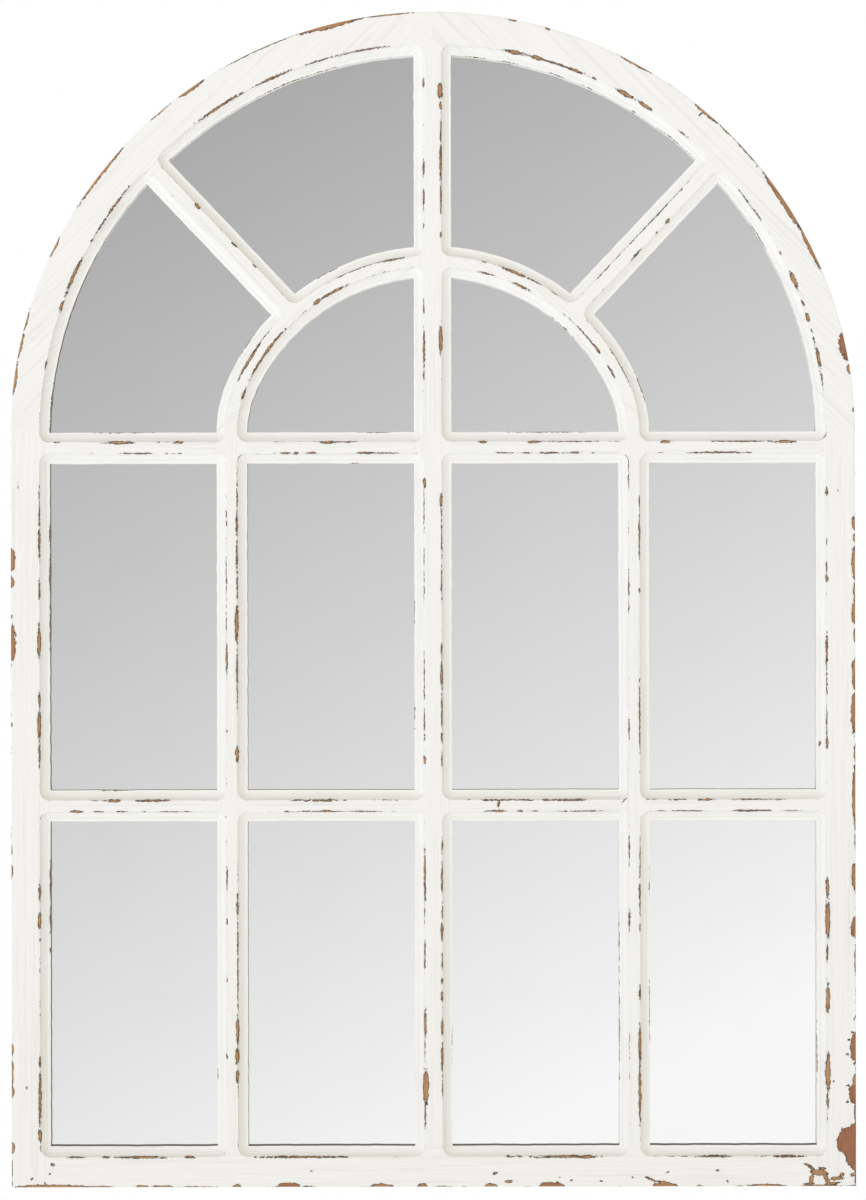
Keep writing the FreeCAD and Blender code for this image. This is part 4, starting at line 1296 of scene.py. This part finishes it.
@dataclass(frozen=True)
class PaintedWood(Finish):
    """Hand-brushed white paint, chipped back to brown and tan wood."""

    name: str = "brushed_white_paint"
    white: Colour = srgb(245, 244, 240)
    # Whiter colour of the painted highlight on the step beside the glass.
    painted_highlight_white: Colour = srgb(249, 248, 245)
    # Grey used for the brush streaks' tone and for the painted shade in the cove's crease.
    shade: Colour = srgb(206, 204, 190)
    # Dark colour of the painted shade on the walls between the step and the glass.
    painted_shade: Colour = srgb(92, 80, 68)
    tan: Colour = srgb(190, 147, 102)
    brown: Colour = srgb(152, 96, 72)
    rim: Colour = srgb(66, 51, 41)
    raw: Colour = srgb(201, 178, 143)
    cove: float = 9.35
    brush: float = 0.0004
    # Depths in metres over which that painted shade grows in towards the glass.
    painted_shade_depths: tuple[float, float] = (-0.0134, -0.0119)

    def write(self, graph: Graph) -> Value:
        """Adds paint with painted shade and a painted highlight, chips, bare wood and brush marks."""
        grain = graph.attribute("grain", "Vector")
        chipped = self._chipped(graph, grain)
        bare = chipped.rise(-0.04, 0.06)
        outline = chipped.rise(-0.12, 0.0) * chipped.fall(0.25, 0.85)
        streak = graph.noise(graph.scaled(grain, (5.0, 300.0, 60.0)), 1.0, 3.0)
        bristle = graph.noise(graph.scaled(grain, (14.0, 1100.0, 60.0)), 1.0, 3.0)
        paint = self._paint(graph, grain, streak, bristle)
        fibre = graph.noise(graph.scaled(grain, (40.0, 900.0, 400.0)), 1.0, 5.0, 0.6)
        wood = graph.mix(graph.attribute("red") * 0.8 + fibre * 0.6 - 0.3, self.tan, self.brown)
        wood = graph.mix(fibre.rise(0.48, 0.72) * 0.5, wood, self.rim)
        wood = graph.mix(outline * 0.95, wood, self.rim)
        colour = graph.mix(bare, paint, wood)
        raw = graph.mix(fibre * 0.5, self.raw, self.tan)
        drift = graph.noise(graph.scaled(grain, (30.0, 90.0, 90.0)), 1.0, 5.0, 0.6)
        overspray = (drift * 14.0 - graph.attribute("rim")).rise(-3.0, 5.0)
        colour = graph.mix(self._behind(graph), colour, graph.mix(overspray * 0.85, raw, self.white))
        height = streak * 1.1 + bristle * 0.9 + (1.0 - bare) * 1.1 + fibre * bare * 0.3
        return graph.surface(
            Base_Color=colour, Roughness=0.5 + bare * 0.3 + streak * 0.12,
            Normal=graph.bump(height, self.brush))

    @staticmethod
    def _chipped(graph: Graph, grain: Value) -> Value:
        """Millimetres inside a chip, with ragged edges and hairline wear on the arrises."""
        patchy = graph.noise(graph.scaled(grain, (45.0, 45.0, 45.0)), 1.0, 6.0, 0.65)
        wide = graph.noise(graph.scaled(grain, (150.0, 200.0, 200.0)), 1.0, 4.0, 0.6)
        coarse = graph.noise(graph.scaled(grain, (330.0, 620.0, 620.0)), 1.0, 4.0, 0.65)
        fine = graph.noise(graph.scaled(grain, (1100.0, 1700.0, 1700.0)), 1.0, 2.0)
        edge = abs(graph.attribute("gap") - 0.15).at_most(graph.attribute("edge"))
        hairline = (patchy * 5.0 - 3.05).at_most(0.35) - edge
        chip = graph.attribute("chip") + (graph.attribute("red") * 7.0 + 1.6) * (wide - 0.5)
        return chip.at_least(hairline) + (coarse - 0.5) * 3.2 + (fine - 0.5) * 1.2

    def _paint(self, graph: Graph, grain: Value, streak: Value, bristle: Value) -> Value:
        """Warm white with brush marks, painted shade in the cove's crease, a painted highlight on the step, and
        painted shade on the walls against the glass that face right or up.
        """
        gap = graph.attribute("gap")
        cloud = graph.noise(graph.scaled(grain, (9.0, 24.0, 24.0)), 1.0, 4.0)
        tint = (streak - 0.5) * 0.9 + (bristle - 0.5) * 0.9 + (cloud - 0.5) * 0.3
        # Painted shade: a darker band in the crease where the cove meets the step.
        crease_shade = abs(gap + self.cove - 3.0).fall(0.0, 1.1) * cloud * 0.3
        # Painted highlight: the step beside the glass is painted whiter.
        step_highlight = gap.fall(2.4 - self.cove, 3.2 - self.cove)
        paint = graph.mix(tint.at_least(crease_shade), graph.mix(step_highlight, self.white, self.painted_highlight_white), self.shade)
        # Painted shade: walls against the glass that face right or up are darkened towards the glass.
        turned = graph.parts(graph.node("ShaderNodeNewGeometry", {}, {}, "True Normal"))
        shaded_facing = (turned[0] + turned[2]).rise(0.1, 0.6)
        deep = graph.parts(grain)[2].rise(*self.painted_shade_depths)
        wall = gap.fall(0.05 - self.cove, 0.35 - self.cove)
        return graph.mix(wall * deep * shaded_facing * 0.88, paint, self.painted_shade)

    @staticmethod
    def _behind(graph: Graph) -> Value:
        """Where the surface looks backwards."""
        normal = graph.node("ShaderNodeNewGeometry", {}, {}, "True Normal")
        return graph.parts(normal)[1].rise(0.6, 0.9)


@dataclass(frozen=True)
class MirrorGlass(Finish):
    """Silvered glass, clean, with the faintest haze."""

    name: str = "silvered_glass"
    silver: Colour = (0.955, 0.962, 0.958)
    haze: Colour = (0.925, 0.935, 0.93)

    def write(self, graph: Graph) -> Value:
        """Adds a clear reflection with faint haze."""
        cloud = graph.noise(graph.place(), 14.0, 3.0)
        colour = graph.mix(cloud.rise(0.45, 0.8) * 0.5, self.silver, self.haze)
        return graph.surface(Base_Color=colour, Metallic=1.0, Roughness=cloud * 0.02 + 0.004)


@dataclass(frozen=True)
class Hardboard(Finish):
    """Pressed brown fibreboard with the weave of its press screen."""

    name: str = "pressed_hardboard"
    light: Colour = srgb(150, 112, 78)
    dark: Colour = srgb(98, 68, 45)
    screen: float = 420.0

    def write(self, graph: Graph) -> Value:
        """Adds mottled fibres and a fine screen pattern."""
        place = graph.place()
        mottle = graph.noise(place, 70.0, 6.0, 0.65)
        fibres = graph.noise(graph.scaled(place, (900.0, 900.0, 260.0)), 1.0, 3.0, 0.6)
        colour = graph.mix(mottle * 0.7 + fibres * 0.5 - 0.1, self.dark, self.light)
        weave = [graph.node("ShaderNodeTexWave", {"bands_direction": way},
                            {"Vector": place, "Scale": self.screen, "Distortion": 1.2, "Detail Scale": 2.0})
                 for way in ("X", "Z")]
        height = weave[0] * 0.5 + weave[1] * 0.5 + fibres * 0.6
        return graph.surface(Base_Color=colour, Roughness=0.62 + fibres * 0.2,
                             Normal=graph.bump(height, 0.00018))


@dataclass(frozen=True)
class DowelBeech(Finish):
    """Pale beech rod."""

    name: str = "beech_rod"
    light: Colour = srgb(222, 190, 148)
    dark: Colour = srgb(178, 134, 92)

    def write(self, graph: Graph) -> Value:
        """Adds fine flecks."""
        fleck = graph.noise(graph.scaled(graph.place(), (500.0, 500.0, 120.0)), 1.0, 4.0)
        return graph.surface(Base_Color=graph.mix(fleck, self.light, self.dark), Roughness=0.55 + fleck * 0.2)


@dataclass(frozen=True)
class PlatedSteel(Finish):
    """Plated steel with a cloudy, finely scratched sheen."""

    name: str
    light: Colour
    dark: Colour
    roughness: float = 0.3
    cloud: float = 160.0

    def write(self, graph: Graph) -> Value:
        """Adds clouding and scratches."""
        place = graph.place()
        cloud = graph.noise(place, self.cloud, 4.0, 0.6)
        scratch = graph.noise(graph.scaled(place, (4000.0, 900.0, 500.0)), 1.0, 2.0)
        colour = graph.mix(cloud.rise(0.3, 0.7), self.light, self.dark)
        return graph.surface(Base_Color=colour, Metallic=1.0,
                             Roughness=self.roughness + cloud * 0.2 + (scratch - 0.5) * 0.1,
                             Normal=graph.bump(scratch, 0.00002))


@dataclass(frozen=True)
class BumperRubber(Finish):
    """Soft grey rubber with a moulded bloom."""

    name: str = "grey_rubber"
    dark: Colour = srgb(58, 57, 55)
    bloom: Colour = srgb(104, 102, 98)

    def write(self, graph: Graph) -> Value:
        """Adds bloom and a fine grain."""
        place = graph.place()
        bloom = graph.noise(place, 420.0, 4.0, 0.6)
        grain = graph.noise(place, 2600.0, 2.0)
        return graph.surface(Base_Color=graph.mix(bloom.rise(0.4, 0.75) * 0.7, self.dark, self.bloom),
                             Roughness=0.62 + bloom * 0.2, Normal=graph.bump(grain, 0.00006))


ZINC = PlatedSteel("zinc_plate", srgb(205, 206, 208), srgb(150, 152, 156), 0.26)
SCREW = PlatedSteel("yellow_zinc_plate", srgb(214, 200, 160), srgb(160, 150, 128), 0.24, 900.0)


# ======================================================================================================
# The mirror
# ======================================================================================================

class Woodwork:
    """The fourteen wooden members."""

    def __init__(self, layout: Layout, detail: Detail) -> None:
        """Lists the members.

        Args:
            layout: the window's lines.
            detail: how finely to mesh.
        """
        self.layout = layout
        self.shop = Carpenter(layout, detail)
        self.boards = self._frame_boards() + self._grid_boards() + self._fan_boards()

    def _pair(self, node: str, outline: Callable[[float], Points], grain: float, role: Role,
              crossings: list[tuple[float, float, float, float]] = ()) -> list[Board]:
        """A right-hand member and its mirror image."""
        other = node.replace("right", "left")
        flipped = [(-x_high, -x_low, z_low, z_high) for x_low, x_high, z_low, z_high in crossings]
        return [Board(node, outline, grain, role, list(crossings)),
                Board(other, lambda step: np.flip(outline(step), 0) * MIRROR, -grain, role, flipped)]

    def _frame_boards(self) -> list[Board]:
        """Stiles, bottom rail and the two quarters of the head."""
        at = self.layout
        inner = [(at.lip, at.spring), (at.lip, at.transom_low), (at.lip, at.bar_high), (at.lip, at.bar_low),
                 (at.lip, at.rail)]
        stile = [(at.lip, 0.0), (at.half, 0.0), (at.half, at.spring)] + inner
        top = [at.lip, at.muntin_out, at.muntin_in, at.mullion]
        rail = ([(-at.lip, 0.0), (at.lip, 0.0)] + [(x, at.rail) for x in top]
                + [(-x, at.rail) for x in reversed(top)])
        return (self._pair("right_stile", lambda step: chain(stile, step), 90.0, Role.FRAME)
                + [Board("bottom_rail", lambda step: chain(rail, step), 0.0, Role.FRAME)]
                + self._pair("right_arch", self._arch, -45.0, Role.FRAME))

    def _arch(self, step: float) -> Points:
        """Outline of the head's right quarter."""
        at = self.layout
        start = math.atan2(at.spring - at.outer_centre, at.half)
        outer = arc((0.0, at.outer_centre), at.outer_radius, start, math.pi / 2.0, step)
        half_bar = at.sizes.fan_width / 2.0
        stops = [math.pi / 2.0, at.angle(at.at_x(at.mullion, at.lip_centre, at.lip_radius), at.lip_centre),
                 at.angle(at.meet(half_bar, at.lip_centre, at.lip_radius), at.lip_centre),
                 at.angle(at.meet(-half_bar, at.lip_centre, at.lip_radius), at.lip_centre),
                 math.atan2(at.spring - at.lip_centre, at.lip)]
        inner = [arc((0.0, at.lip_centre), at.lip_radius, first, last, step) for first, last in zip(stops, stops[1:])]
        crown = (0.0, at.lip_centre + at.lip_radius)
        return np.vstack([line((at.lip, at.spring), (at.half, at.spring), step), outer,
                          line((0.0, at.crown), crown, step)] + inner)

    def _grid_boards(self) -> list[Board]:
        """Mullion, muntins and the two cross bars."""
        at = self.layout
        rows = ((at.bar_low, at.bar_high), (at.transom_low, at.spring))
        columns = ((-at.muntin_out, -at.muntin_in), (-at.mullion, at.mullion), (at.muntin_in, at.muntin_out))
        heights = [at.rail, at.bar_low, at.bar_high, at.transom_low, at.spring]
        muntin = [(at.muntin_out, z) for z in heights] + [(at.muntin_in, z) for z in reversed(heights)]
        boards = self._pair("right_muntin", lambda step: chain(muntin, step), 90.0, Role.UPRIGHT,
                            [(*columns[2], *row) for row in rows])
        boards.append(Board("centre_mullion", self._mullion, 90.0, Role.UPRIGHT,
                            [(*columns[1], *row) for row in rows]))
        ticks = [-at.lip] + [x for column in columns for x in column] + [at.lip]
        for node, (low, high) in (("lower_bar", rows[0]), ("transom_bar", rows[1])):
            corners = [(x, low) for x in ticks] + [(x, high) for x in reversed(ticks)]
            boards.append(Board(node, lambda step, corners=corners: chain(corners, step), 0.0, Role.BAR,
                                [(*column, low, high) for column in columns]))
        return boards

    def _mullion(self, step: float) -> Points:
        """Outline of the centre upright, its head on the lip's arc."""
        at = self.layout
        inner = at.at_x(at.mullion, at.inner_centre, at.inner_radius)[1]
        outer = at.at_x(at.mullion, at.inner_centre, at.inner_radius + at.band)[1]
        head = at.at_x(at.mullion, at.lip_centre, at.lip_radius)
        heights = [at.rail, at.bar_low, at.bar_high, at.transom_low, at.spring, inner, outer, head[1]]
        right = chain([(-at.mullion, at.rail)] + [(at.mullion, z) for z in heights], step, closed=False)
        start = at.angle(head, at.lip_centre)
        top = arc((0.0, at.lip_centre), at.lip_radius, start, math.pi - start, step)
        left = chain([(-at.mullion, z) for z in reversed(heights)], step, closed=False)
        return np.vstack([right, top, left])

    def _fan_boards(self) -> list[Board]:
        """The inner arch's quarters and the fan bars."""
        return (self._pair("inner_arch_right", self._inner_arch, -42.0, Role.UPRIGHT)
                + self._pair("right_fan_bar", self._fan_bar, self.layout.sizes.fan_angle, Role.UPRIGHT))

    def _inner_arch(self, step: float) -> Points:
        """Outline of the inner arch's right quarter."""
        at = self.layout
        spring_x, crown, rim = (at.haunch_x, at.spring), (0.0, at.inner_centre), at.inner_radius + at.band
        half_bar = at.sizes.fan_width / 2.0
        stops = [at.turn, at.angle(at.meet(-half_bar, at.inner_centre, rim), at.inner_centre),
                 at.angle(at.meet(half_bar, at.inner_centre, rim), at.inner_centre),
                 at.angle(at.at_x(at.mullion, at.inner_centre, rim), at.inner_centre)]
        outer = [arc(crown, rim, first, last, step) for first, last in zip(stops, stops[1:])]
        top = at.at_x(at.mullion, at.inner_centre, rim)
        low = at.at_x(at.mullion, at.inner_centre, at.inner_radius)
        return np.vstack([
            line((at.muntin_in, at.spring), (at.muntin_out, at.spring), step),
            arc(spring_x, at.sizes.haunch_radius + at.band, 0.0, at.turn, step)] + outer + [
            line(top, low, step),
            arc(crown, at.inner_radius, at.angle(low, at.inner_centre), at.turn, step),
            arc(spring_x, at.sizes.haunch_radius, at.turn, 0.0, step)])

    def _fan_bar(self, step: float) -> Points:
        """Outline of the right fan bar."""
        at = self.layout
        half_bar, rim = at.sizes.fan_width / 2.0, at.inner_radius + at.band
        low, foot = at.meet(-half_bar, at.inner_centre, rim), at.meet(half_bar, at.inner_centre, rim)
        high, head = at.meet(-half_bar, at.lip_centre, at.lip_radius), at.meet(half_bar, at.lip_centre, at.lip_radius)
        return np.vstack([
            line(low, high, step),
            arc((0.0, at.lip_centre), at.lip_radius, at.angle(high, at.lip_centre), at.angle(head, at.lip_centre), step),
            line(head, foot, step),
            arc((0.0, at.inner_centre), rim, at.angle(foot, at.inner_centre), at.angle(low, at.inner_centre), step)])

    def build(self) -> None:
        """Makes every board and lets it stand for its solid."""
        paint = PaintedWood().material()
        for board in self.boards:
            piece = self.shop.cut(board)
            piece.data.materials.append(paint)
            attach(piece, "root")
            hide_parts(board.node)
            LOG.info("%s: %d faces", piece.name, len(piece.data.polygons))


class Fittings:
    """Panes, panel, hangers and fasteners, which keep their own solids."""

    finishes: tuple[tuple[str, Finish], ...] = (
        ("panel", Hardboard()),
        ("pane", MirrorGlass()),
        ("dowels", DowelBeech()),
        ("strap", ZINC),
        ("ring", ZINC),
        ("screws", SCREW),
        ("bumpers", BumperRubber()),
    )

    def dress(self, covered: set[str]) -> None:
        """Gives every solid that still shows its finish.

        Args:
            covered: the solids that boards stand for.
        """
        for node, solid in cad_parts.items():
            if node in covered:
                continue
            finish = next(finish for word, finish in self.finishes if word in node)
            for slot in solid.material_slots:
                slot.material = finish.material()
            LOG.info("%s: %s", node, finish.name)


# ======================================================================================================
# Studio
# ======================================================================================================

@dataclass(frozen=True)
class Studio:
    """A plain pale studio round the hanging mirror, in metres."""

    aim_height: float = 0.5650
    distance: float = 2.84
    lens: float = 88.5
    roll: float = 0.1
    floor_level: float = -1.25
    floor_radius: float = 1.8
    ambient: float = 0.968
    slope: float = 0.20
    tilt: Colour = (1.0, 1.19, 1.69)
    key_strength: float = 0.38
    key_way: tuple[float, float, float] = (0.5, 0.7, 0.5)
    key_spread: float = 60.0

    def camera(self) -> None:
        """Looks straight at the face, as the photograph does."""
        data = bpy.data.cameras.new("camera")
        data.lens, data.sensor_width = self.lens, 36.0
        camera = bpy.data.objects.new("camera", data)
        camera.location = (0.0, span("right_stile", 1)[0] * MM - self.distance, self.aim_height)
        camera.rotation_euler = (math.radians(90.0), math.radians(self.roll), 0.0)
        bpy.context.scene.collection.objects.link(camera)
        bpy.context.scene.camera = camera

    def key(self) -> None:
        """One broad soft light from the lower left."""
        data = bpy.data.lights.new("key", "SUN")
        data.energy, data.angle = self.key_strength, math.radians(self.key_spread)
        lamp = bpy.data.objects.new("key", data)
        lamp.rotation_euler = Vector(self.key_way).to_track_quat("-Z", "Y").to_euler()
        lamp.visible_camera = lamp.visible_glossy = False
        bpy.context.scene.collection.objects.link(lamp)

    def floor(self) -> None:
        """A pale round floor below the hanging mirror, fading into the white."""
        points = arc((0.0, 0.0), self.floor_radius, 0.0, math.tau, self.floor_radius / 16.0)
        mesh = bpy.data.meshes.new("floor")
        mesh.from_pydata([(x, y, self.floor_level) for x, y in points], [], [list(range(len(points)))])
        floor = bpy.data.objects.new("floor", mesh)
        bpy.context.scene.collection.objects.link(floor)
        material = bpy.data.materials.new("floor")
        graph = Graph(material)
        across, deep, _ = graph.parts(graph.place())
        far = (across * across + deep * deep) ** 0.5
        ground = graph.surface(Base_Color=srgb(244, 246, 252), Roughness=0.9, Specular_IOR_Level=0.1)
        white = graph.node("ShaderNodeEmission", {}, {"Color": (1.0, 1.0, 1.0)})
        fade = far.rise(0.45 * self.floor_radius, 0.97 * self.floor_radius) * self._seen(graph)
        graph.finish(graph.node("ShaderNodeMixShader", {}, {0: fade, 1: ground, 2: white}))
        mesh.materials.append(material)
        floor.visible_glossy = False

    @staticmethod
    def _seen(graph: Graph) -> Value:
        """Whether a ray looks at the surroundings, straight, in a mirror or through glass."""
        path = graph.node("ShaderNodeLightPath", {}, {}, "Is Camera Ray")
        outputs = path.socket.node.outputs
        glossy, through = Value(graph, outputs["Is Glossy Ray"]), Value(graph, outputs["Is Transmission Ray"])
        return path.at_least(glossy).at_least(through)

    def world(self) -> None:
        """White behind the mirror, a graded wall in front of it and soft light from all round."""
        world = bpy.data.worlds.new("studio")
        bpy.context.scene.world = world
        graph = Graph(world)
        across, deep, up = graph.parts(graph.node("ShaderNodeTexCoord", {}, {}, "Generated"))
        ahead = (0.0 - deep).at_least(0.05)
        grey = 0.836 - up / ahead * 0.745 + across / ahead * 0.3835
        grey = grey.at_least(0.66).at_most(0.985)
        wall = ((grey + 0.055) / 1.055) ** 2.4
        wall = wall + (1.0 - wall) * deep.rise(-0.30, -0.02)
        wall = wall.at_least(graph.node("ShaderNodeLightPath", {}, {}, "Is Camera Ray"))
        side = (across + up) * -self.slope
        light = graph.node("ShaderNodeVectorMath", {"operation": "MULTIPLY_ADD"},
                           {0: side, 1: self.tilt, 2: (self.ambient,) * 3})
        colour = graph.mix(self._seen(graph), light, wall)
        background = graph.node("ShaderNodeBackground", {}, {"Color": colour, "Strength": 1.0})
        graph.finish(background, "ShaderNodeOutputWorld")

    def set_up(self) -> None:
        """Builds the whole studio."""
        self.camera()
        self.key()
        self.floor()
        self.world()
        bpy.context.scene.view_settings.view_transform = "Standard"


def main() -> None:
    """Builds the studio, the woodwork and the finishes."""
    logging.basicConfig(level=logging.INFO, format="%(message)s")
    Studio().set_up()
    detail = Detail()
    woodwork = Woodwork(Layout(Sizes()), detail)
    woodwork.build()
    Fittings().dress({board.node for board in woodwork.boards})


if __name__ == "__main__":
    main()
